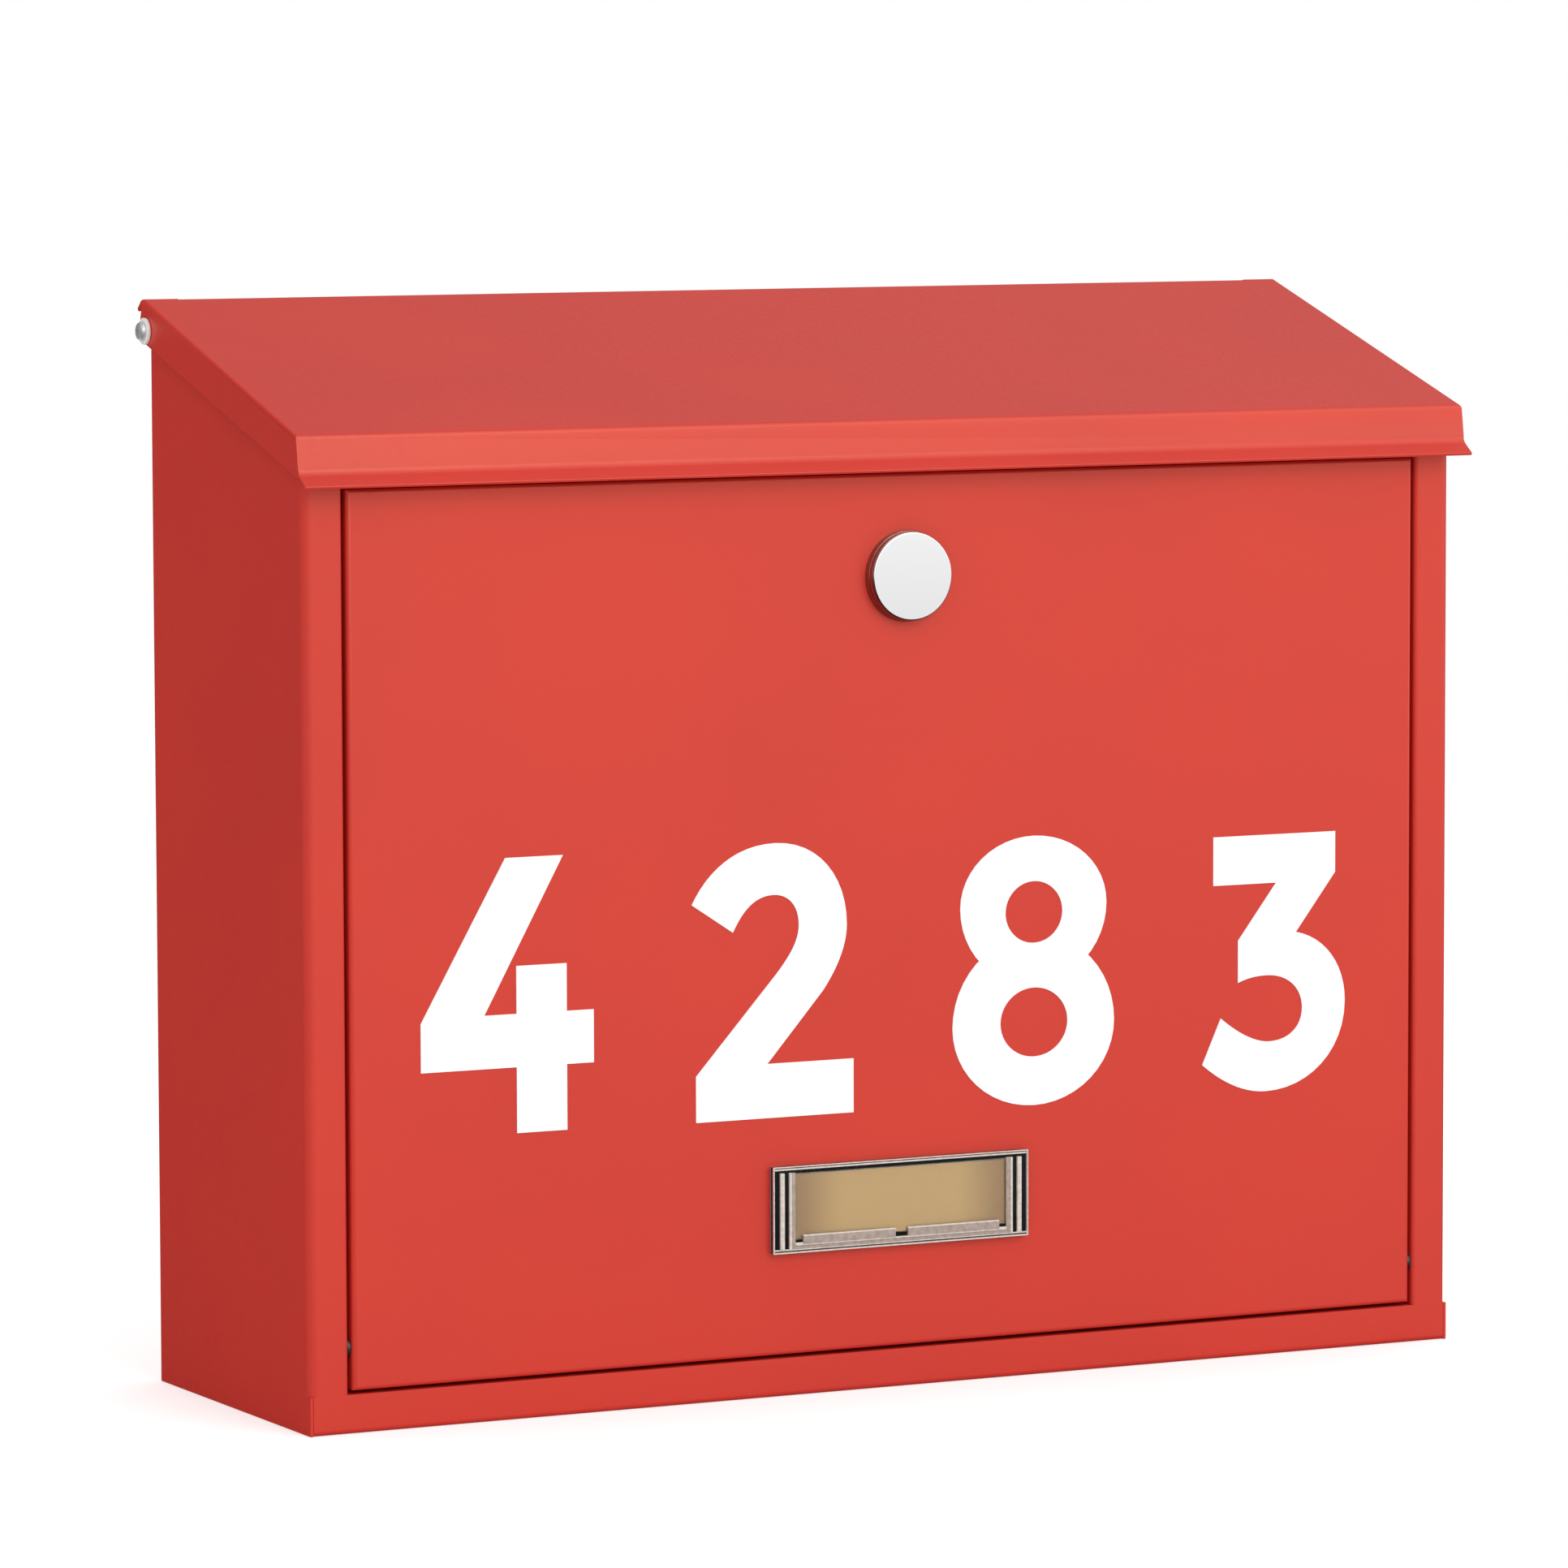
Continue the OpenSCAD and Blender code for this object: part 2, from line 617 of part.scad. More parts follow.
// Screw that holds the cam on the plug's square
module cam_screw() {
    back = cam_front + cam_t;
    color(zinc) seated() {
        bar_y(lock_x, lock_z, back - cam_screw_len + fit, cam_screw_len, cam_screw_d);
        bar_y(lock_x, lock_z, back, cam_screw_head_t, cam_screw_head_d);
    }
}

// Round cover over the keyhole, swinging aside on a peg near its upper edge
module lock_cover() {
    back = front_y - collar_t - cover_gap;
    r = lock_d / 2;
    color(chrome) seated() {
        translate([lock_x, back, lock_z]) rotate([90, 0, 0])
            rotate_extrude() polygon([[0, 0], [r, 0], [r, cover_t - cover_bevel_t],
                [r - cover_bevel, cover_t], [0, cover_t]]);
        bar_y(lock_x, lock_z + peg_up, back - cover_t / 2, cover_t / 2 + cover_gap + peg_depth,
            peg_d);
    }
}

// A centred plate on the door, in the front view
module centred(size) translate([-size[0] / 2, plate_z - size[1] / 2]) square(size);

// Dark foam tape that sticks the name plate to the door
module name_backing() color(dark_foam) seated() forward(front_y, plate_back_t) centred(plate_size);

// Plain name card
module name_card() color(card_colour) seated()
    forward(front_y - plate_back_t, card_t) centred(card_size);

// Clear window: a rim on the backing, with a pocket for the card and two thumb tabs
module name_window() {
    color(clear) seated() difference() {
        forward(front_y - plate_back_t, window_front - plate_back_t) difference() {
            centred(plate_size);
            translate([-notch_size[0] / 2, plate_z - plate_size[1] / 2 - past])
                square([notch_size[0], notch_size[1] + past]);
        }
        forward(front_y - plate_back_t + past, card_t + past) centred(pocket_size);
    }
}

// Figures lie in the front view with their lower left corner at the origin.
// They are drawn 79 high, which is the height that their points are given for.
figure_scale = number_h / 79;

module figure_4() {
    bar = [18.9, 34.2];
    stem = [29.9, 45.7];
    polygon([[26.6, 78.9], [44.7, 78.9], [19.8, bar[1]], [stem[0], bar[1]],
        [stem[0], 47.9], [stem[1], 47.9], [stem[1], bar[1]], [54.2, bar[1]],
        [54.2, bar[0]], [stem[1], bar[0]], [stem[1], 0], [stem[0], 0],
        [stem[0], bar[0]], [0, bar[0]], [0, 32.9]]);
}

module figure_2() polygon(concat(
    curve([0, 63.1], [5, 72.5], [14, 79.8], [27, 79.8]),
    curve([27, 79.8], [41, 79.8], [50.1, 69], [50.1, 55.3]),
    curve([50.1, 55.3], [50.1, 48.5], [46.5, 41.8], [42.3, 36.2]),
    [[42.3, 36.2], [24.2, 15.8], [52.2, 15.8], [52.2, 0], [1.2, 0], [1.2, 13.4]],
    curve([27.1, 41.7], [31.5, 46.8], [34.5, 51], [34.5, 55.8]),
    curve([34.5, 55.8], [34.5, 61], [31.5, 64.8], [26.3, 64.8]),
    curve([26.3, 64.8], [20.5, 64.8], [16.5, 61], [13.2, 54.5]),
    [[13.2, 54.5]]));

module figure_8() difference() {
    union() {
        polygon(egg([27, 59], 24.4, 20.6, 23.3));
        polygon(egg([27, 24], 27, 26.5, 24));
    }
    polygon(egg([27.1, 57.1], 9.5, 9.1, 9.1));
    polygon(egg([27.1, 24.6], 11.2, 10.2, 10.2));
}

module figure_3() polygon(concat(
    [[3.7, 76.9], [45.6, 76.9], [45.6, 64.7]],
    curve([32.1, 47.3], [42, 45.3], [49.1, 37], [49.1, 25.9]),
    curve([49.1, 25.9], [49.1, 10.5], [36.5, 0], [21.7, 0]),
    curve([21.7, 0], [13.5, 0], [6, 4.2], [0, 9.1]),
    [[0, 9.1]],
    curve([6.3, 22.7], [11, 18.9], [17.5, 14.9], [23, 14.9]),
    curve([23, 14.9], [29.5, 14.9], [34.3, 18.5], [34.3, 24.5]),
    curve([34.3, 24.5], [34.3, 30.3], [29.5, 34.8], [22.1, 34.8]),
    curve([22.1, 34.8], [18.2, 34.8], [15, 34.2], [12.2, 33]),
    [[12.2, 33], [12.2, 45.6], [25.2, 62.4], [3.7, 62.4]]));

// A figure stuck on the door at its place in the row
module stuck(i) color(vinyl) seated() forward(front_y, number_t)
    translate([number_x[i], door_low + number_up[i]]) scale(figure_scale) children();

module number_4() stuck(0) figure_4();
module number_2() stuck(1) figure_2();
module number_8() stuck(2) figure_8();
module number_3() stuck(3) figure_3();

body_wrap();
bottom_pan();
top_rail();
wall_spacers();
lid();
lid_screw_left();
lid_screw_right();
lid_washer_left();
lid_washer_right();
lid_bush_left();
lid_bush_right();
lid_nut_left();
lid_nut_right();
door_panel();
door_pin_left();
door_pin_right();
door_washer_left();
door_washer_right();
lock_housing();
lock_nut();
lock_plug();
lock_cam();
cam_screw();
lock_cover();
name_backing();
name_card();
name_window();
number_4();
number_2();
number_8();
number_3();
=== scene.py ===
"""Wall mailbox of folded, red powder-coated steel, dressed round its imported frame.

The sheet-metal pieces are copies of the frame's own. Their cut edges are softened, where there
is room, as a coat of powder leaves them. Turned pieces, such as screws, washers, nuts, pins and
the lock's threaded barrel, come from one geometry-nodes tree. Lengths are in metres, in the
frame's own axes.
"""

import json
import math

import bmesh
import bpy
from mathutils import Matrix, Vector
from mathutils.bvhtree import BVHTree

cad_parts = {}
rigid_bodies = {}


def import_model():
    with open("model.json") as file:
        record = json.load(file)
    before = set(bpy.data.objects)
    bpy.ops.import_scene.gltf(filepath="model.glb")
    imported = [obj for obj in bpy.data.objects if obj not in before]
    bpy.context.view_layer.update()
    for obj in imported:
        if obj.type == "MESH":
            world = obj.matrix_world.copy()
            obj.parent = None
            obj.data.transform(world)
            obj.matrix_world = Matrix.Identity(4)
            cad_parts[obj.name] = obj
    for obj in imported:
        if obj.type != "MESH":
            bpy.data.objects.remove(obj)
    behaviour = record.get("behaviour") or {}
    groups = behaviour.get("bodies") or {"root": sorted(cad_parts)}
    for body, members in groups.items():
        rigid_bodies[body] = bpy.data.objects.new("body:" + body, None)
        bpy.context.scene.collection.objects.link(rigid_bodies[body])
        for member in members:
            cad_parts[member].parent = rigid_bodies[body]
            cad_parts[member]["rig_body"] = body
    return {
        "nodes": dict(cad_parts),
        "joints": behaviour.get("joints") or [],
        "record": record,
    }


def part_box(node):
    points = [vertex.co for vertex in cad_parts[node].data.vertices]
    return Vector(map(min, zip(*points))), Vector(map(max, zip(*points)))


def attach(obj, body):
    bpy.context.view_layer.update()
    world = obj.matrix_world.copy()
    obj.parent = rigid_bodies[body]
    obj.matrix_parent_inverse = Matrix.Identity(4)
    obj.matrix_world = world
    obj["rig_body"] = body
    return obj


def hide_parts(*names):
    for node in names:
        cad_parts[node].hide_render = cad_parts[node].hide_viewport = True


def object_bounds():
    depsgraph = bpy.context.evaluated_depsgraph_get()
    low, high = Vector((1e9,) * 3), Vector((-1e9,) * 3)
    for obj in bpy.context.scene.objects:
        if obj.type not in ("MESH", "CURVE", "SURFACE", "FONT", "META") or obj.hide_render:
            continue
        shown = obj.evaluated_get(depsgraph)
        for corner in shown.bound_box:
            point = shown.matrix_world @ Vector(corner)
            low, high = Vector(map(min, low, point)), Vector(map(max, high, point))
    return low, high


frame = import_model()
cad_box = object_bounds()

MM = 0.001

# Frame places that the dressed pieces are worked out from
JOINTS = {joint["name"]: joint for joint in frame["joints"]}
MOUNTS = {mount["name"]: mount for mount in frame["record"]["mounts"]}
LID_AXIS = Vector(JOINTS["lid_hinge"]["pos_m"])
DOOR_AXIS = Vector(JOINTS["door_hinge"]["pos_m"])
LOCK_AXIS = Vector(JOINTS["lock_turn"]["pos_m"])
PEG_AXIS = Vector(JOINTS["cover_swing"]["pos_m"])
Y = Vector((0, 1, 0))


def reach(node, axis):
    """Lowest and highest coordinate of a frame node along an axis."""
    low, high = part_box(node)
    return low[axis], high[axis]


def linear(hex_code):
    """An sRGB hex colour as the linear colour that a shader takes."""
    channels = [int(hex_code[i : i + 2], 16) / 255 for i in (1, 3, 5)]
    bright = [c / 12.92 if c <= 0.04045 else ((c + 0.055) / 1.055) ** 2.4 for c in channels]
    return (*bright, 1.0)


def add(tree, kind, inputs=None, **settings):
    """Adds a node to a tree, with its settings, and fills or links its inputs."""
    node = tree.nodes.new(kind)
    for name, value in settings.items():
        setattr(node, name, value)
    for name, value in (inputs or {}).items():
        if isinstance(value, bpy.types.NodeSocket):
            tree.links.new(value, node.inputs[name])
        else:
            node.inputs[name].default_value = value
    return node


def linked(name, data):
    """A new object in the scene, made of a mesh, lamp or camera."""
    made = bpy.data.objects.new(name, data)
    bpy.context.scene.collection.objects.link(made)
    return made


def mesh_of(shape, name):
    """A mesh made of a bmesh, which is freed."""
    mesh = bpy.data.meshes.new(name)
    shape.to_mesh(mesh)
    shape.free()
    return mesh


# Finishes


def new_finish(name):
    """An empty material and its tree, with object coordinates to pattern by."""
    material = bpy.data.materials.new(name)
    material.use_nodes = True
    tree = material.node_tree
    tree.nodes.clear()
    place = add(tree, "ShaderNodeTexCoord").outputs["Object"]
    return material, tree, place


def shown_by(tree, shader):
    """Makes a shader the tree's surface."""
    add(tree, "ShaderNodeOutputMaterial", {"Surface": shader.outputs[0]})


def noise(tree, place, size_mm, detail, roughness):
    """A noise whose features are about size_mm across."""
    return add(tree, "ShaderNodeTexNoise",
        {"Vector": place, "Scale": 1 / (size_mm * MM), "Detail": detail,
         "Roughness": roughness}).outputs["Fac"]


def mapped(tree, value, start, end, low, high, **settings):
    """A value whose range from start to end is spread over low to high."""
    return add(tree, "ShaderNodeMapRange",
        {"Value": value, "From Min": start, "From Max": end, "To Min": low, "To Max": high},
        **settings).outputs["Result"]


def two_tone(tree, value, start, end, low_hex, high_hex):
    """A colour that runs from one hex colour to another while a value runs from start to end."""
    ramp = add(tree, "ShaderNodeValToRGB", {"Fac": value})
    stops = ramp.color_ramp.elements
    stops[0].position, stops[0].color = start, linear(low_hex)
    stops[1].position, stops[1].color = end, linear(high_hex)
    return ramp.outputs["Color"]


def mixed(tree, factor, first, second):
    """A colour between two others, the first at nought and the second at one."""
    return add(tree, "ShaderNodeMix", {"Factor": factor, "A": first, "B": second},
        data_type="RGBA").outputs["Result"]


def relief(tree, height, strength, depth_mm):
    """The normal of a surface with a fine relief."""
    return add(tree, "ShaderNodeBump",
        {"Height": height, "Strength": strength, "Distance": depth_mm * MM}).outputs["Normal"]


def times(tree, first, second):
    """The product of two values."""
    return add(tree, "ShaderNodeMath", {0: first, 1: second}, operation="MULTIPLY").outputs[0]


def seen_straight(tree):
    """One for rays from the camera, also through clear plastic, and nought for all others."""
    rays = add(tree, "ShaderNodeLightPath").outputs
    return add(tree, "ShaderNodeMath",
        {0: rays["Is Camera Ray"], 1: rays["Is Transmission Ray"]}, operation="ADD",
        use_clamp=True).outputs[0]


def satin_powder_coat():
    """Polyester powder baked on sheet steel: satin, with a faint orange peel and no grain."""
    material, tree, place = new_finish("satin_powder_coat")
    drift = noise(tree, place, 70, 2.0, 0.5)
    peel = noise(tree, place, 1.4, 1.0, 0.4)
    shader = add(tree, "ShaderNodeBsdfPrincipled",
        {"Base Color": two_tone(tree, drift, 0.3, 0.7, "#CC342C", "#D1352B"),
         "Roughness": mapped(tree, peel, 0.3, 0.7, 0.30, 0.36),
         "IOR": 1.5, "Specular Tint": linear("#FFFCDD"),
         "Normal": relief(tree, peel, 0.25, 0.006)})
    shown_by(tree, shader)
    return material


def polished_chrome(name, hex_code):
    """Chrome plate on turned zinc: a clean mirror, a little soft from hand polishing."""
    material, tree, place = new_finish(name)
    haze = noise(tree, place, 6, 3.0, 0.6)
    shader = add(tree, "ShaderNodeBsdfPrincipled",
        {"Base Color": linear(hex_code), "Metallic": 1.0,
         "Roughness": mapped(tree, haze, 0.3, 0.7, 0.05, 0.09)})
    shown_by(tree, shader)
    return material


def bright_zinc():
    """Zinc plate on pressed and turned steel: pale, blue-white, dulled and softly mottled."""
    material, tree, place = new_finish("bright_zinc")
    mottle = noise(tree, place, 2.5, 4.0, 0.6)
    shader = add(tree, "ShaderNodeBsdfPrincipled",
        {"Base Color": two_tone(tree, mottle, 0.3, 0.7, "#D2D6D9", "#E6E9EA"),
         "Metallic": 0.6, "Roughness": mapped(tree, mottle, 0.3, 0.7, 0.34, 0.46),
         "Normal": relief(tree, mottle, 0.2, 0.01)})
    shown_by(tree, shader)
    return material


def natural_nylon():
    """Moulded nylon 6: milky white, with a dull skin."""
    material, tree, place = new_finish("natural_nylon")
    skin = noise(tree, place, 0.6, 2.0, 0.5)
    shader = add(tree, "ShaderNodeBsdfPrincipled",
        {"Base Color": linear("#F0F1EE"), "Roughness": 0.42, "IOR": 1.53,
         "Normal": relief(tree, skin, 0.2, 0.01)})
    shown_by(tree, shader)
    return material


def black_nylon():
    """Nylon dyed black and moulded: near black, with a dull, finely grained skin."""
    material, tree, place = new_finish("black_nylon")
    skin = noise(tree, place, 0.6, 2.0, 0.5)
    shader = add(tree, "ShaderNodeBsdfPrincipled",
        {"Base Color": two_tone(tree, skin, 0.35, 0.65, "#19191B", "#242427"),
         "Roughness": 0.45, "IOR": 1.53, "Normal": relief(tree, skin, 0.2, 0.01)})
    shown_by(tree, shader)
    return material


def black_rubber():
    """Moulded natural rubber: near black, dull, with a fine bloom."""
    material, tree, place = new_finish("black_rubber")
    bloom = noise(tree, place, 1.2, 4.0, 0.6)
    shader = add(tree, "ShaderNodeBsdfPrincipled",
        {"Base Color": two_tone(tree, bloom, 0.35, 0.75, "#222224", "#313134"),
         "Roughness": 0.7, "Normal": relief(tree, bloom, 0.3, 0.02)})
    shown_by(tree, shader)
    return material


def adhesive_foam():
    """Foam tape under clear plastic: blue-grey at its ends, brown by the card.

    It has come loose in pale specks at its top left corner.
    """
    material, tree, place = new_finish("adhesive_foam")
    low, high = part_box("name_backing")
    along = add(tree, "ShaderNodeSeparateXYZ", {"Vector": place}).outputs
    off = add(tree, "ShaderNodeMath", {0: along["X"]}, operation="ABSOLUTE").outputs[0]
    at_end = mapped(tree, off, high.x - 3.0 * MM, high.x - 2.4 * MM, 0.0, 1.0)
    pores = noise(tree, place, 0.9, 3.0, 0.7)
    specks = mapped(tree, pores, 0.56, 0.66, 0.0, 1.0)
    to_left = mapped(tree, along["X"], 0.2 * low.x, 0.8 * low.x, 0.0, 1.0)
    to_top = mapped(tree, along["Z"], high.z - 3.2 * MM, high.z - 2.0 * MM, 0.0, 1.0)
    loose = times(tree, times(tree, to_left, to_top), specks)
    toned = mixed(tree, at_end, linear("#5E4A45"), linear("#74737F"))
    shader = add(tree, "ShaderNodeBsdfPrincipled",
        {"Base Color": mixed(tree, loose, toned, linear("#E8E4E6")), "Roughness": 0.6,
         "Normal": relief(tree, pores, 0.4, 0.03)})
    shown_by(tree, shader)
    return material


def clear_polystyrene():
    """Moulded clear polystyrene: glossy and see-through, with faint flow waves."""
    material, tree, place = new_finish("clear_polystyrene")
    waves = noise(tree, place, 5, 1.0, 0.4)
    shader = add(tree, "ShaderNodeBsdfPrincipled",
        {"Base Color": linear("#FAFBFB"), "Roughness": 0.02, "IOR": 1.59,
         "Transmission Weight": 1.0, "Normal": relief(tree, waves, 0.3, 0.03)})
    shown_by(tree, shader)
    return material


def thick_polystyrene(name, hex_code):
    """Clear polystyrene where it is thick and seen on edge, given a milky colour; its pale and
    greyer copies are painted light and painted shade.
    """
    material, tree, place = new_finish(name)
    waves = noise(tree, place, 1.5, 2.0, 0.5)
    colour = add(tree, "ShaderNodeVectorMath",
        {0: linear(hex_code)[:3], "Scale": mapped(tree, waves, 0.35, 0.65, 0.86, 1.08)},
        operation="SCALE")
    shader = add(tree, "ShaderNodeBsdfPrincipled",
        {"Base Color": colour.outputs["Vector"], "Roughness": 0.18, "IOR": 1.59,
         "Transmission Weight": 0.15})
    shown_by(tree, shader)
    return material


def tan_card():
    """Buff manila card: matt, with short fibres, and browner ends that are painted shade from the
    holder's ribs.
    """
    material, tree, place = new_finish("tan_card")
    low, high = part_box("name_card")
    fibres = noise(tree, place, 0.7, 5.0, 0.65)
    from_middle = add(tree, "ShaderNodeVectorMath",
        {0: place, 1: (low + high) / 2}, operation="SUBTRACT").outputs["Vector"]
    along = add(tree, "ShaderNodeSeparateXYZ", {"Vector": from_middle}).outputs["X"]
    off = add(tree, "ShaderNodeMath", {0: along}, operation="ABSOLUTE").outputs[0]
    # Painted shade: the card darkens towards both ends, where the holder's ribs shade it
    painted_rib_shade = mapped(tree, off, 0.5 * high.x, high.x, 0.0, 1.0, interpolation_type="SMOOTHSTEP")
    toned = add(tree, "ShaderNodeVectorMath",
        {0: mixed(tree, painted_rib_shade, linear("#EBC27B"), linear("#BC935A")),
         "Scale": mapped(tree, fibres, 0.3, 0.7, 0.97, 1.03)}, operation="SCALE")
    shader = add(tree, "ShaderNodeBsdfPrincipled",
        {"Base Color": toned.outputs["Vector"], "Roughness": 0.8,
         "Normal": relief(tree, fibres, 0.3, 0.02)})
    shown_by(tree, shader)
    return material


def white_vinyl():
    """Cast vinyl film: opaque white, satin, with the faintest draw of the roller."""
    material, tree, place = new_finish("white_vinyl")
    draw = add(tree, "ShaderNodeMapping", {"Vector": place, "Scale": (1.0, 1.0, 0.15)})
    lines = noise(tree, draw.outputs["Vector"], 1.5, 2.0, 0.5)
    shader = add(tree, "ShaderNodeBsdfPrincipled",
        {"Base Color": linear("#FAFAFA"),
         "Roughness": mapped(tree, lines, 0.3, 0.7, 0.38, 0.45)})
    shown_by(tree, shader)
    return material


POWDER = satin_powder_coat()
CHROME = polished_chrome("polished_chrome", "#E5E5E6")
# A greyer copy of the chrome is painted shade down the lock's wall and behind the disc's rim, for
# the darker reflection of the door beside the lock
CHROME_PAINTED_SHADE = polished_chrome("polished_chrome_painted_shade", "#A39A95")
ZINC = bright_zinc()
NYLON = natural_nylon()
BLACK_NYLON = black_nylon()
RUBBER = black_rubber()
FOAM = adhesive_foam()
CLEAR = clear_polystyrene()
# One milky plastic twice: the pale copy is painted light on rims, ribs and tab brows, the greyer
# copy painted shade on tab faces and inner strips
PAINTED_LIGHT_RIB = thick_polystyrene("polystyrene_rib_painted_light", "#E9E0D6")
PAINTED_SHADE_RIB = thick_polystyrene("polystyrene_rib_painted_shade", "#B8A99E")
CARD = tan_card()
VINYL = white_vinyl()

# The finish that stands for each material slot of the record
SLOTS = {
    "powder_coat": POWDER,
    "zinc_steel": ZINC,
    "chrome_plate": CHROME,
    "nylon": NYLON,
    "black_nylon": BLACK_NYLON,
    "plate_backing": FOAM,
    "clear_plastic": CLEAR,
    "card": CARD,
    "vinyl": VINYL,
    "rubber": RUBBER,
}
NODE_SLOT = {part["node"]: part["material_slot"] for part in frame["record"]["subparts"]}


# Shared ways of making a piece


def placed(name, mesh, *nodes):
    """Puts a mesh in the scene as the piece that stands for these frame nodes."""
    piece = linked(name, mesh)
    slot = NODE_SLOT[nodes[0]]
    mesh.materials.clear()
    mesh.materials.append(SLOTS[slot])
    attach(piece, frame["nodes"][nodes[0]]["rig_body"])
    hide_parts(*nodes)
    return piece


# Corners closer than WELD are one corner, and faces that turn by less than FLAT_WITHIN one face
WELD = 0.002 * MM
FLAT_WITHIN = math.radians(0.3)
# A cut edge turns by more than this
CUT_EDGE_TURN = math.radians(40)
# A turned piece is shaded smooth across edges that turn by less than this
SMOOTH_UP_TO = math.radians(32)
# Cosine of the angle from which a neighbouring edge counts as a piece of the same edge
STRAIGHT_ON = math.cos(math.radians(140))


def smoothed(mesh):
    """Shades a mesh smooth, apart from its corners."""
    mesh.shade_smooth()
    mesh.set_sharp_from_angle(angle=SMOOTH_UP_TO)


def joined_copy(node):
    """A frame node's mesh with its loose triangles joined and its flat faces whole."""
    shape = bmesh.new()
    shape.from_mesh(frame["nodes"][node].data)
    bmesh.ops.remove_doubles(shape, verts=shape.verts, dist=WELD)
    bmesh.ops.dissolve_limit(shape, angle_limit=FLAT_WITHIN, verts=shape.verts, edges=shape.edges)
    return shape


def room_at(edge):
    """How wide a rounding along this edge can be before it runs past a neighbouring edge."""
    room = math.inf
    for end in edge.verts:
        along = (edge.other_vert(end).co - end.co).normalized()
        for other in end.link_edges:
            away = (other.other_vert(end).co - end.co).normalized()
            if other != edge and along.dot(away) > STRAIGHT_ON:
                room = min(room, other.calc_length() * along.cross(away).length)
    return room


def beside_crack(edge, surface, width):
    """Whether one of the edge's faces has another face of the piece close in front of it."""
    from_edge, off_face = 0.03 * MM, 0.0005 * MM
    middle = (edge.verts[0].co + edge.verts[1].co) / 2
    for face in edge.link_faces:
        inwards = (face.calc_center_median() - middle).normalized()
        start = middle + inwards * from_edge + face.normal * off_face
        if surface.ray_cast(start, face.normal, width)[0] is not None:
            return True
    return False


def soft_edged(node, cut_r, stays_sharp=None):
    """A frame node with its cut edges rounded by cut_r, where there is room for it."""
    shape = joined_copy(node)
    surface = BVHTree.FromBMesh(shape)
    weights = shape.edges.layers.float.new("bevel_weight_edge")
    for edge in shape.edges:
        if edge.is_manifold and edge.calc_face_angle() > CUT_EDGE_TURN:
            has_room = room_at(edge) > 2 * cut_r and not beside_crack(edge, surface, cut_r)
            if has_room and not (stays_sharp and stays_sharp(edge)):
                edge[weights] = 1.0
            else:
                edge.smooth = False
    for face in shape.faces:
        face.smooth = True
    piece = placed(node + "_dressed", mesh_of(shape, node + "_dressed"), node)
    bevel = piece.modifiers.new("soft_edges", "BEVEL")
    bevel.limit_method = "WEIGHT"
    bevel.width = cut_r
    bevel.segments = 3
    bevel.use_clamp_overlap = False
    flat = piece.modifiers.new("flat_faces", "WEIGHTED_NORMAL")
    flat.keep_sharp = True
    flat.weight = 100
    return piece


def eased(points, radius, steps=3, closed=False):
    """A profile with its corners rounded."""
    count = len(points)
    # Share of a side that the rounding of one corner may take
    most = 0.45
    made = []
    for i, here in enumerate(points):
        if not closed and i in (0, count - 1):
            made.append(here)
            continue
        before, after = Vector(points[i - 1]), Vector(points[(i + 1) % count])
        here = Vector(here)
        back, on = before - here, after - here
        cut = min(radius, most * back.length, most * on.length)
        start, end = here + back.normalized() * cut, here + on.normalized() * cut
        for k in range(steps + 1):
            t = k / steps
            made.append(tuple((1 - t) ** 2 * start + 2 * t * (1 - t) * here + t * t * end))
    return made


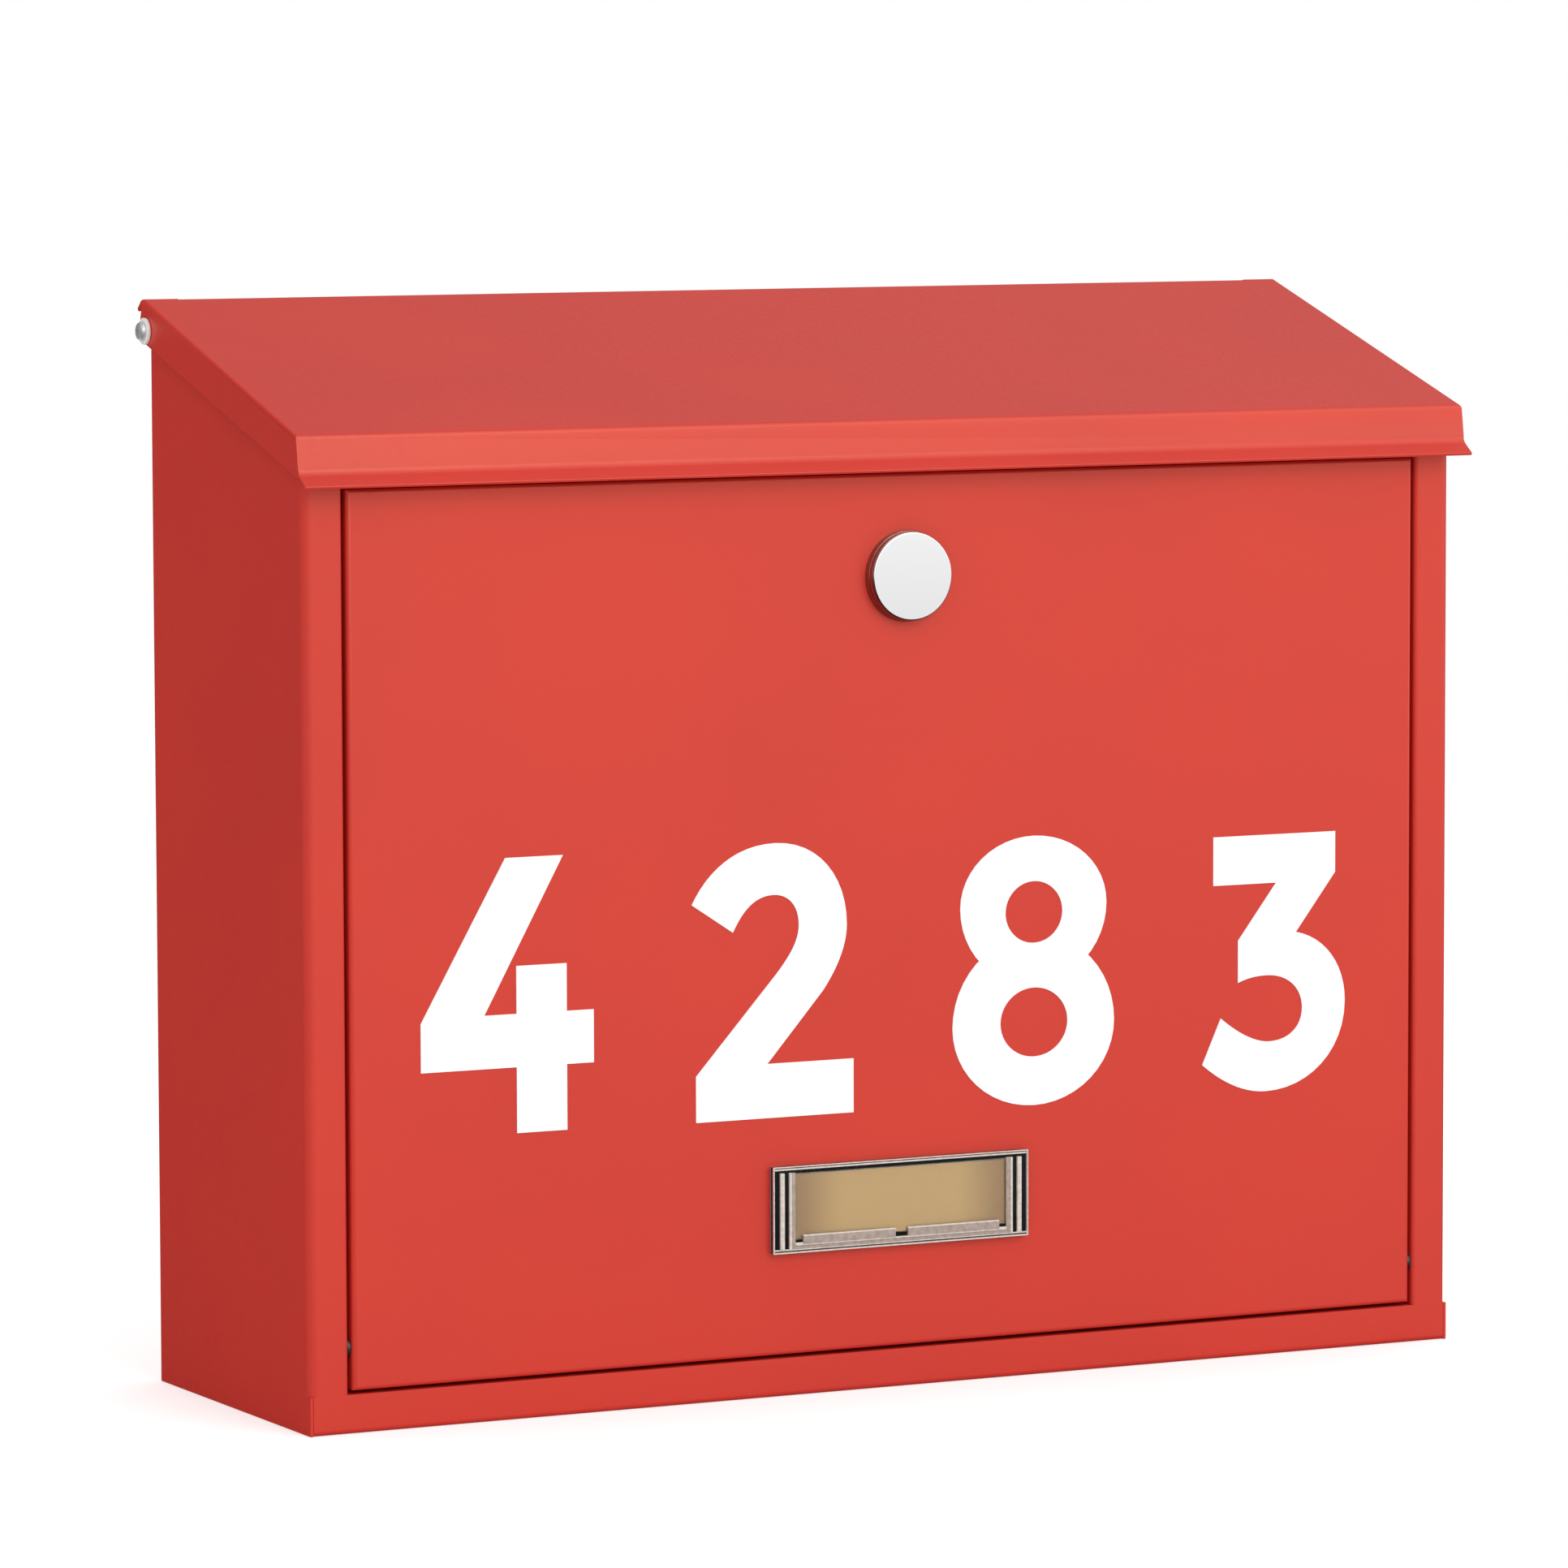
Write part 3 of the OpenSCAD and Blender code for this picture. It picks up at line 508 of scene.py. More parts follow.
def turned_tree():
    """Turns a profile about its axis, cuts a thread and flats on it, and sets out copies.

    The profile is a row of vertices: X is the distance from the axis and Z the distance along it.
    """
    tree = bpy.data.node_groups.new("turned_pieces", "GeometryNodeTree")
    kinds = {
        "Profile": "NodeSocketGeometry",
        "Segments": "NodeSocketInt",
        "Thread Pitch": "NodeSocketFloat",
        "Thread Depth": "NodeSocketFloat",
        "Thread Start": "NodeSocketFloat",
        "Thread End": "NodeSocketFloat",
        "Thread Radius": "NodeSocketFloat",
        "Across Flats": "NodeSocketFloat",
        "Recess Length": "NodeSocketFloat",
        "Recess Width": "NodeSocketFloat",
        "Recess Depth": "NodeSocketFloat",
        "Recess Face": "NodeSocketFloat",
        "Copies Across": "NodeSocketInt",
        "Copies Up": "NodeSocketInt",
        "Spread Across": "NodeSocketFloat",
        "Spread Up": "NodeSocketFloat",
        "Middle": "NodeSocketVector",
        "Axis": "NodeSocketVector",
        "Outwards": "NodeSocketBool",
        "Finish": "NodeSocketMaterial",
    }
    for name, kind in kinds.items():
        tree.interface.new_socket(name, in_out="INPUT", socket_type=kind)
    tree.interface.new_socket("Pieces", in_out="OUTPUT", socket_type="NodeSocketGeometry")
    given = add(tree, "NodeGroupInput").outputs

    def maths(operation, a, b=0.0, c=0.0):
        return add(tree, "ShaderNodeMath", {0: a, 1: b, 2: c}, operation=operation).outputs[0]

    size = add(tree, "GeometryNodeAttributeDomainSize",
        {"Geometry": given["Profile"]}, component="MESH").outputs["Point Count"]
    columns = maths("ADD", given["Segments"], 1.0)
    sheet = add(tree, "GeometryNodeMeshGrid", {"Vertices X": columns, "Vertices Y": size})
    index = add(tree, "GeometryNodeInputIndex").outputs["Index"]
    row = maths("MODULO", index, size)
    column = maths("FLOOR", maths("DIVIDE", maths("ADD", index, 0.5), size))
    share = maths("DIVIDE", column, given["Segments"])
    turn = maths("MULTIPLY", share, math.tau)
    place = add(tree, "GeometryNodeInputPosition").outputs["Position"]
    profile = add(tree, "GeometryNodeSampleIndex",
        {"Geometry": given["Profile"], "Value": place, "Index": row},
        data_type="FLOAT_VECTOR", domain="POINT")
    point = add(tree, "ShaderNodeSeparateXYZ", {"Vector": profile.outputs["Value"]}).outputs
    radius, along = point["X"], point["Z"]

    phase = maths("ADD", maths("DIVIDE", along, given["Thread Pitch"]), share)
    groove = maths("MULTIPLY", maths("PINGPONG", phase, 0.5), 2.0)
    after = maths("GREATER_THAN", along, given["Thread Start"])
    before = maths("LESS_THAN", along, given["Thread End"])
    on_wall = maths("COMPARE", radius, given["Thread Radius"], 0.02 * MM)
    threaded = maths("MULTIPLY", maths("MULTIPLY", after, before), on_wall)
    cut = maths("MULTIPLY", maths("MULTIPLY", groove, threaded), given["Thread Depth"])
    cut_radius = maths("SUBTRACT", radius, cut)

    sides = 6
    sector = maths("SUBTRACT", maths("FRACT", maths("MULTIPLY", share, float(sides))), 0.5)
    off_flat = maths("MULTIPLY", sector, math.tau / sides)
    half_flats = maths("MULTIPLY", given["Across Flats"], 0.5)
    flat_radius = maths("DIVIDE", half_flats, maths("COSINE", off_flat))
    true_radius = maths("MINIMUM", cut_radius, flat_radius)

    turned = add(tree, "ShaderNodeCombineXYZ",
        {"X": maths("MULTIPLY", true_radius, maths("COSINE", turn)),
         "Y": maths("MULTIPLY", true_radius, maths("SINE", turn)), "Z": along})
    wrapped = add(tree, "GeometryNodeSetPosition",
        {"Geometry": sheet.outputs["Mesh"], "Position": turned.outputs["Vector"]})
    solid = add(tree, "GeometryNodeMergeByDistance",
        {"Geometry": wrapped.outputs["Geometry"], "Distance": 0.001 * MM})

    bars = []
    spans = (given["Recess Length"], given["Recess Width"])
    for across, up in (spans, reversed(spans)):
        bar_size = add(tree, "ShaderNodeCombineXYZ",
            {"X": across, "Y": up,
             "Z": maths("MULTIPLY", given["Recess Depth"], 2.0)})
        cube = add(tree, "GeometryNodeMeshCube", {"Size": bar_size.outputs["Vector"]})
        face = add(tree, "ShaderNodeCombineXYZ", {"Z": given["Recess Face"]})
        bars.append(add(tree, "GeometryNodeTransform",
            {"Geometry": cube.outputs["Mesh"], "Translation": face.outputs["Vector"]}))
    slotted = add(tree, "GeometryNodeMeshBoolean",
        {"Mesh 1": solid.outputs["Geometry"]}, operation="DIFFERENCE", solver="EXACT")
    for bar in bars:
        tree.links.new(bar.outputs["Geometry"], slotted.inputs["Mesh 2"])
    has_recess = maths("GREATER_THAN", given["Recess Depth"], 0.0)
    piece = add(tree, "GeometryNodeSwitch",
        {"Switch": has_recess, "False": solid.outputs["Geometry"],
         "True": slotted.outputs["Mesh"]}, input_type="GEOMETRY").outputs["Output"]

    pattern = add(tree, "GeometryNodeMeshGrid",
        {"Size X": given["Spread Across"], "Size Y": given["Spread Up"],
         "Vertices X": given["Copies Across"], "Vertices Y": given["Copies Up"]})
    upright = add(tree, "GeometryNodeTransform",
        {"Geometry": pattern.outputs["Mesh"], "Rotation": (math.radians(90), 0, 0)})
    across = add(tree, "ShaderNodeSeparateXYZ", {"Vector": place}).outputs["X"]
    outwards = add(tree, "ShaderNodeCombineXYZ", {"X": maths("SIGN", across)})
    facing = add(tree, "GeometryNodeSwitch",
        {"Switch": given["Outwards"], "False": given["Axis"],
         "True": outwards.outputs["Vector"]}, input_type="VECTOR").outputs["Output"]
    heading = add(tree, "FunctionNodeAlignRotationToVector", {"Vector": facing}, axis="Z")
    set_out = add(tree, "GeometryNodeInstanceOnPoints",
        {"Points": upright.outputs["Geometry"], "Instance": piece,
         "Rotation": heading.outputs["Rotation"]})
    moved = add(tree, "GeometryNodeTransform",
        {"Geometry": set_out.outputs["Instances"], "Translation": given["Middle"]})
    real = add(tree, "GeometryNodeRealizeInstances", {"Geometry": moved.outputs["Geometry"]})
    finished = add(tree, "GeometryNodeSetMaterial",
        {"Geometry": real.outputs["Geometry"], "Material": given["Finish"]})
    add(tree, "NodeGroupOutput", {"Pieces": finished.outputs["Geometry"]})
    return tree


TURNED = turned_tree()
# Flats this far apart, in metres, never cut into a piece, so it stays round
ROUND = 1.0


def turned_mesh(name, profile, middle, axis=Y, **sizes):
    """A plain mesh of turned pieces: profile points are (from the axis, along the axis)."""
    mesh = bpy.data.meshes.new(name)
    rows = [(r, 0.0, h) for r, h in profile]
    mesh.from_pydata(rows, [(i, i + 1) for i in range(len(rows) - 1)], [])
    host = linked(name, mesh)
    values = {
        "Segments": 72,
        "Thread Pitch": 1.0,
        "Thread Depth": 0.0,
        "Across Flats": ROUND,
        "Copies Across": 1,
        "Copies Up": 1,
        "Middle": middle,
        "Axis": axis,
    }
    values.update(sizes)
    modifier = host.modifiers.new("turned", "NODES")
    modifier.node_group = TURNED
    for item in TURNED.interface.items_tree:
        if item.in_out == "INPUT" and item.name in values:
            modifier[item.identifier] = values[item.name]
    graph = bpy.context.evaluated_depsgraph_get()
    result = bpy.data.meshes.new_from_object(host.evaluated_get(graph), depsgraph=graph)
    bpy.data.objects.remove(host)
    shape = bmesh.new()
    shape.from_mesh(result)
    bmesh.ops.recalc_face_normals(shape, faces=shape.faces)
    shape.to_mesh(result)
    shape.free()
    smoothed(result)
    return result


def ring(bore_r, outer_r, thickness, edge_r):
    """Closed profile of a flat ring with eased edges."""
    corners = [(bore_r, 0), (outer_r, 0), (outer_r, thickness), (bore_r, thickness)]
    loop = eased(corners, edge_r, closed=True)
    return loop + [loop[0]]


# Body, lid and door

CUT_R = 0.28 * MM
FRONT_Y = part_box("body_wrap")[0].y
# How deep a front flange and its fold reach back from the front face
FLANGE_D = 3.5 * MM
# The flanges' lower edges lie further in than this from the body's sides
FOLD_W = 4 * MM


def sill_seam():
    """Height at which the front flanges stand flush on the sill."""
    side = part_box("body_wrap")[1].x - FOLD_W
    places = [v.co for v in frame["nodes"]["body_wrap"].data.vertices]
    return min(p.z for p in places if p.y < FRONT_Y + WELD and abs(p.x) < side)


SEAM_Z = sill_seam()


def on_seam(edge):
    """True where a flange meets the sill, which is filled and painted over as one flush face."""
    return all(abs(v.co.z - SEAM_Z) < WELD and v.co.y < FRONT_Y + FLANGE_D for v in edge.verts)


LID_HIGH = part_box("lid")[1]
LID_SLOPE = math.tan(math.radians(17.48))
# Depth at which the lid's top face reaches its highest line
LID_APEX_Y = -8.3 * MM
# The lid's back fold is crisp this far in from each end
LID_END_W = 11 * MM
# A rounding runs past the small faces that are nearer than this to that step or to a side fold
STEP_NEAR, FOLD_NEAR = 0.5 * MM, 1.7 * MM


def near_lid_folds(edge):
    """Whether an edge touches the lid's side folds or the step at the ends of its back fold."""
    step_x = LID_HIGH.x - LID_END_W
    for v in edge.verts:
        below_top = LID_HIGH.z + (v.co.y - LID_APEX_Y) * LID_SLOPE - v.co.z
        if abs(v.co.x) > step_x - STEP_NEAR and below_top < FOLD_NEAR:
            return True
    return all(abs(abs(v.co.x) - step_x) < STEP_NEAR for v in edge.verts)


soft_edged("body_wrap", CUT_R, on_seam)
soft_edged("bottom_pan", CUT_R, on_seam)
soft_edged("top_rail", CUT_R)
soft_edged("lid", CUT_R, near_lid_folds)
soft_edged("door_panel", CUT_R)

# Fixings

SCREW_BORE_R = 1.55 * MM


def side_rings(name, node, hinge, bore_r, edge_r):
    """A pair of rings on a hinge, one at each side of the box."""
    inner, outer = reach(node + "_right", 0)
    low, high = reach(node + "_right", 2)
    mesh = turned_mesh(name, ring(bore_r, (high - low) / 2, outer - inner, edge_r), hinge,
        **{"Copies Across": 2, "Spread Across": 2 * inner, "Outwards": True})
    return placed(name, mesh, node + "_left", node + "_right")


side_rings("lid_washers", "lid_washer", LID_AXIS, SCREW_BORE_R, 0.25 * MM)
side_rings("lid_bushes", "lid_bush", LID_AXIS, SCREW_BORE_R, 0.2 * MM)
side_rings("door_washers", "door_washer", DOOR_AXIS, SCREW_BORE_R, 0.2 * MM)


def wall_rubbers():
    """Four rubber rings that stand the box off its wall."""
    holes = MOUNTS["wall_holes"]["dims"]
    front, wall = reach("wall_spacers", 1)
    left, right = reach("wall_spacers", 0)
    across = holes["spacing_x_mm"] * MM
    outer_r = (right - left - across) / 2
    profile = ring(holes["hole_r_mm"] * MM, outer_r, wall - front, 0.5 * MM)
    mesh = turned_mesh("wall_rubbers", profile, Vector((0, front, 0)),
        **{"Copies Across": 2, "Copies Up": 2, "Spread Across": across,
           "Spread Up": holes["spacing_y_mm"] * MM})
    return placed("wall_rubbers", mesh, "wall_spacers")


wall_rubbers()


def hex_ring(bore_r, across_flats, thickness):
    """Closed profile of a nut: chamfered corners outside and a countersunk bore."""
    corner_r, flat_r = across_flats / math.sqrt(3), 0.47 * across_flats
    chamfer = (corner_r - flat_r) * math.tan(math.radians(30))
    sink = 0.06 * across_flats
    side = [(corner_r, chamfer + (thickness - 2 * chamfer) * i / 4) for i in range(5)]
    low = [(bore_r + sink, 0), (flat_r, 0)]
    low += [(flat_r + (corner_r - flat_r) * i / 6, chamfer * i / 6) for i in range(1, 6)]
    high = [(r, thickness - h) for r, h in reversed(low)]
    loop = low + side + high + [(bore_r, thickness - sink), (bore_r, sink)]
    return loop + [loop[0]]


def lid_nuts():
    """Two hexagon nuts on the hinge screws, inside the box."""
    inner, outer = reach("lid_nut_right", 0)
    low, high = reach("lid_nut_right", 1)
    mesh = turned_mesh("lid_nuts", hex_ring(SCREW_BORE_R, high - low, outer - inner), LID_AXIS,
        **{"Copies Across": 2, "Spread Across": 2 * inner, "Outwards": True,
           "Across Flats": high - low, "Segments": 96})
    return placed("lid_nuts", mesh, "lid_nut_left", "lid_nut_right")


lid_nuts()


def pan_head(shank_r, shank_l, head_r, head_h, tip):
    """Profile of a pan-head screw from its tip to the middle of its head."""
    rings = [(shank_r, tip + (shank_l - 2 * tip) * i / 90) for i in range(91)]
    shank = [(0, 0), (shank_r - tip, 0)] + rings + [(shank_r, shank_l)]
    crown = [(head_r, shank_l), (head_r, shank_l + 0.42 * head_h)]
    crown += [(0.86 * head_r, shank_l + 0.82 * head_h), (0.5 * head_r, shank_l + head_h)]
    crown += [(0, shank_l + head_h)]
    return shank + eased(crown, 0.16 * head_h, steps=4)


def lid_screws():
    """Two pan-head hinge screws with cross recesses, one at each side."""
    inner, outer = reach("lid_screw_right", 0)
    low, high = reach("lid_screw_right", 1)
    shank_r, tip, head_h = 1.5 * MM, 0.3 * MM, 1.6 * MM
    shank_l = outer - inner - head_h
    profile = pan_head(shank_r, shank_l, (high - low) / 2, head_h, tip)
    mesh = turned_mesh("lid_screws", profile, LID_AXIS,
        **{"Copies Across": 2, "Spread Across": 2 * inner, "Outwards": True,
           "Thread Pitch": 0.5 * MM, "Thread Depth": 0.25 * MM, "Thread Radius": shank_r,
           "Thread Start": tip, "Thread End": 4.2 * MM,
           "Recess Length": 3.0 * MM, "Recess Width": 0.75 * MM, "Recess Depth": 0.9 * MM,
           "Recess Face": outer - inner})
    return placed("lid_screws", mesh, "lid_screw_left", "lid_screw_right")


lid_screws()


def door_pins():
    """Two headed pins that the door turns on, riveted over at their outer ends."""
    inner, outer = reach("door_pin_right", 0)
    low, high = reach("door_pin_right", 2)
    head_r, head_t = (high - low) / 2, 1.2 * MM
    pin_r, tail_r = 1.5 * MM, 2.2 * MM
    length = outer - inner
    profile = [(0, 0), (head_r, 0), (head_r, head_t), (pin_r, head_t), (pin_r, length - head_t)]
    profile += [(tail_r, length - head_t), (tail_r, length - 0.45 * head_t)]
    profile += [(0.6 * tail_r, length), (0, length)]
    mesh = turned_mesh("door_pins", eased(profile, 0.25 * MM), DOOR_AXIS,
        **{"Copies Across": 2, "Spread Across": 2 * inner, "Outwards": True})
    return placed("door_pins", mesh, "door_pin_left", "door_pin_right")


door_pins()

# Lock


def at_lock(y):
    """The point on the lock's axis at depth y."""
    return Vector((LOCK_AXIS.x, y, LOCK_AXIS.z))


# Radius that the lock's wall loses for each unit of length towards the front
LOCK_TAPER = 0.18
# Length of the lock's collar, from its front face to the door
COLLAR_T = 1.9 * MM


def lock_body():
    """Tapered collar and threaded barrel, bored for the key plug."""
    front, back = reach("lock_housing", 1)
    low, high = reach("lock_housing", 2)
    collar_r = (high - low) / 2
    front_r = collar_r - LOCK_TAPER * COLLAR_T
    barrel_r, length = 9.4 * MM, back - front
    bore_r, face_r, face_t = 6.05 * MM, 7.05 * MM, 1.05 * MM
    thread_from, pitch = COLLAR_T + 1.2 * MM, 1.0 * MM
    thread_to = length - 0.6 * MM
    steps = int((thread_to - thread_from) / pitch * 8)
    thread = [(barrel_r, thread_from + (thread_to - thread_from) * i / steps)
        for i in range(steps + 1)]
    loop = eased([(face_r, 0), (front_r, 0), (collar_r, COLLAR_T), (barrel_r, COLLAR_T)],
        0.06 * MM)
    loop += thread + [(barrel_r, length - 0.5 * MM), (barrel_r - 0.5 * MM, length)]
    loop += [(bore_r, length), (bore_r, face_t), (face_r, face_t), (face_r, 0)]
    mesh = turned_mesh("lock_body", loop, at_lock(front),
        **{"Thread Pitch": pitch, "Thread Depth": 0.5 * MM, "Thread Radius": barrel_r,
           "Thread Start": thread_from, "Thread End": thread_to, "Segments": 96})
    piece = placed("lock_body", mesh, "lock_housing")
    mesh.materials.append(CHROME_PAINTED_SHADE)
    # The collar's wall gets the greyer chrome: painted shade
    for face in mesh.polygons:
        off_axis = (face.center - at_lock(face.center.y)).length
        face.material_index = 1 if off_axis > front_r - 0.3 * MM else 0
    return piece


def lock_ring_nut():
    """Large thin hexagon nut that clamps the lock to the door."""
    front, back = reach("lock_nut", 1)
    low, high = reach("lock_nut", 2)
    across = high - low
    mesh = turned_mesh("lock_ring_nut", hex_ring(9.45 * MM, across, back - front), at_lock(front),
        **{"Across Flats": across, "Segments": 96})
    return placed("lock_ring_nut", mesh, "lock_nut")


def keyhole_disc():
    """Flat round cover with a fine groove behind its rim, and the peg that it swings on."""
    front, back = reach("lock_cover", 1)
    low, high = reach("lock_cover", 2)
    disc_t, gap = 2 * MM, 0.15 * MM
    back_r = (high - low) / 2 - LOCK_TAPER * (COLLAR_T + gap)
    r = back_r - LOCK_TAPER * disc_t
    rim_t, groove_w, groove_d = 0.45 * MM, 0.16 * MM, 0.35 * MM
    rim = [(0, 0), (r - 0.4 * MM, 0), (r - 0.22 * MM, 0), (r, 0.16 * MM), (r, rim_t),
        (r - groove_d, rim_t)]
    wall = [(r - groove_d, rim_t + groove_w), (r + LOCK_TAPER * rim_t, rim_t + groove_w),
        (back_r, disc_t), (0, disc_t)]
    mesh = turned_mesh("keyhole_disc", eased(rim + wall, 0.05 * MM), at_lock(front),
        **{"Segments": 128})
    peg_r, peg_l = 1 * MM, back - front - disc_t / 2
    peg = turned_mesh("peg", eased([(0, 0), (peg_r, 0), (peg_r, peg_l), (0, peg_l)], 0.15 * MM),
        Vector((PEG_AXIS.x, front + disc_t / 2, PEG_AXIS.z)))
    both = bmesh.new()
    both.from_mesh(mesh)
    both.from_mesh(peg)
    both.to_mesh(mesh)
    both.free()
    smoothed(mesh)
    piece = placed("keyhole_disc", mesh, "lock_cover")
    mesh.materials.append(CHROME_PAINTED_SHADE)
    # The disc's rim wall and back get the greyer chrome: painted shade
    for face in mesh.polygons:
        face.material_index = 1 if face.center.y > front + 0.2 * MM else 0
    return piece


def cam_bolt():
    """Pan-head screw that holds the cam on the plug's square."""
    front, back = reach("cam_screw", 1)
    low, high = reach("cam_screw", 2)
    shank_r, tip, head_h = 2 * MM, 0.35 * MM, 2.4 * MM
    profile = pan_head(shank_r, back - front - head_h, (high - low) / 2, head_h, tip)
    mesh = turned_mesh("cam_bolt", profile, at_lock(front),
        **{"Thread Pitch": 0.7 * MM, "Thread Depth": 0.35 * MM, "Thread Radius": shank_r,
           "Thread Start": 0.3 * MM, "Thread End": 3.5 * MM,
           "Recess Length": 4.2 * MM, "Recess Width": 1.0 * MM, "Recess Depth": 1.5 * MM,
           "Recess Face": back - front})
    return placed("cam_bolt", mesh, "cam_screw")


lock_body()
lock_ring_nut()
keyhole_disc()
cam_bolt()
soft_edged("lock_plug", 0.2 * MM)
soft_edged("lock_cam", 0.35 * MM)

# Name plate


def cells(xs, ys, zs, stuff_at):
    """A closed mesh of the boxes between these planes that are filled.

    The number that stuff_at gives for a box is its finish, and None leaves it empty.
    """
    shape = bmesh.new()
    planes = (xs, ys, zs)
    counts = [len(p) - 1 for p in planes]
    known = {}

    def corner(i, j, k):
        if (i, j, k) not in known:
            known[i, j, k] = shape.verts.new((xs[i], ys[j], zs[k]))
        return known[i, j, k]

    def stuff(at):
        if any(a < 0 or a >= n for a, n in zip(at, counts)):
            return None
        return stuff_at(*[(p[a] + p[a + 1]) / 2 for p, a in zip(planes, at)])

    for i in range(counts[0]):
        for j in range(counts[1]):
            for k in range(counts[2]):
                here = stuff((i, j, k))
                if here is None:
                    continue
                for axis in range(3):
                    for side in (0, 1):
                        near = [i, j, k]
                        near[axis] += 1 if side else -1
                        if stuff(near) is not None:
                            continue
                        u, v = [a for a in range(3) if a != axis]
                        loop = []
                        for du, dv in ((0, 0), (1, 0), (1, 1), (0, 1)):
                            at = [i, j, k]
                            at[axis] += side
                            at[u] += du
                            at[v] += dv
                            loop.append(corner(*at))
                        shape.faces.new(loop).material_index = here
    bmesh.ops.recalc_face_normals(shape, faces=shape.faces)
    bmesh.ops.dissolve_limit(shape, angle_limit=FLAT_WITHIN, verts=shape.verts,
        edges=shape.edges, delimit={"MATERIAL"})
    return shape


# How far the card reaches above and below the plate's middle
CARD_UP, CARD_DOWN = 10.2 * MM, 8.7 * MM


def label_window():
    """Clear moulded holder: a thin pane over the card, ribs at its ends and two thumb tabs."""
    (x0, x1), (y0, y1), (z0, z1) = [reach("name_window", axis) for axis in range(3)]
    half, tall, mid_z = (x1 - x0) / 2, (z1 - z0) / 2, (z0 + z1) / 2
    # lit and dim pick the painted light and painted shade copies of the ribs' plastic
    clear, lit, dim = 0, 1, 2
    play = 0.2 * MM
    off_card, under_card, over_card = [length - play for length in
        (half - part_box("name_card")[1].x, tall - CARD_DOWN, tall - CARD_UP)]
    rim, top_rim, low_rim, top_band = 0.35 * MM, 0.3 * MM, 0.4 * MM, 1.9 * MM
    end_rib, fine_rib, inner_rib = (2.25 * MM, 3.6 * MM), (5.2 * MM, 5.9 * MM), 7.2 * MM
    top_line, low_line, tan_band = (0.6 * MM, 1.1 * MM), (0.8 * MM, 1.2 * MM), 2.2 * MM
    tab_root, tab_brow, tab_top = 2.6 * MM, 4.85 * MM, 5.2 * MM
    tab_from, tab_to, ledge = 2.1 * MM, half - 9.7 * MM, 3.0 * MM
    from_end = (0, rim, *end_rib, *fine_rib, inner_rib, half - tab_to, half - tab_from,
        off_card)
    from_low = (0, low_rim, *low_line, tan_band, tab_root, ledge, tab_brow, tab_top, under_card)
    from_top = (0, top_rim, *top_line, top_band, over_card)
    xs = sorted({side * (half - v) for side in (-1, 1) for v in from_end})
    zs = sorted({mid_z - tall + v for v in from_low} | {mid_z + tall - v for v in from_top})
    ys = [y0, y0 + 0.3 * MM, y0 + 0.7 * MM, y1 - 0.45 * MM, y1]

    def between(value, span):
        return span[0] < value < span[1]

    def stuff_at(x, y, z):
        end, low, top = half - abs(x), z - mid_z + tall, mid_z + tall - z
        if y > ys[3]:
            return None if end > off_card and low > under_card and top > over_card else clear
        if y > ys[2]:
            return clear
        proud = y < ys[1]
        if end < rim or top < top_rim or low < low_rim:
            return lit
        if between(top, top_line) or (between(low, low_line) and end > rim):
            return None if proud else lit
        if top < top_band or low < low_line[0]:
            return None
        if between(end, end_rib) or between(end, fine_rib):
            return lit
        if between(end, (fine_rib[1], inner_rib)):
            return None if proud else dim
        if end < inner_rib:
            return None
        if low < tan_band:
            return None if proud else dim
        if low < tab_root:
            return lit
        if tab_from < abs(x) < tab_to and low < tab_top:
            return lit if low > tab_brow else dim
        if abs(x) > tab_to and low < ledge:
            return None if proud else lit
        return None

    mesh = mesh_of(cells(xs, ys, zs, stuff_at), "label_window")
    mesh.shade_smooth()
    finishes = [face.material_index for face in mesh.polygons]
    piece = placed("label_window", mesh, "name_window")
    mesh.materials.append(PAINTED_LIGHT_RIB)
    mesh.materials.append(PAINTED_SHADE_RIB)
    mesh.polygons.foreach_set("material_index", finishes)
    bevel = piece.modifiers.new("moulded_edges", "BEVEL")
    bevel.limit_method = "ANGLE"
    bevel.angle_limit = CUT_EDGE_TURN
    bevel.width = 0.08 * MM
    bevel.segments = 2
    flat = piece.modifiers.new("flat_faces", "WEIGHTED_NORMAL")
    flat.keep_sharp = True
    return piece


def card_strip():
    """The card: a plain strip that slides in behind the pane."""
    low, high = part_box("name_card")
    mid_z = (low.z + high.z) / 2
    shape = cells([low.x, high.x], [low.y, high.y], [mid_z - CARD_DOWN, mid_z + CARD_UP],
        lambda x, y, z: 0)
    return placed("card_strip", mesh_of(shape, "card_strip"), "name_card")


label_window()
soft_edged("name_backing", 0.15 * MM)
card_strip()

# House numbers keep the frame's own shapes

for figure in ("number_4", "number_2", "number_8", "number_3"):
    node = frame["nodes"][figure]
    node.data.materials.clear()
    node.data.materials.append(VINYL)


# Stage

# Radius of the floor, and the distance from which it fades into the background
FLOOR_R = 2.6
FLOOR_FADE_FROM = 0.7
# Brightness that the floor adds for the camera, so that its lit part reads as white
FLOOR_LIFT = 0.35


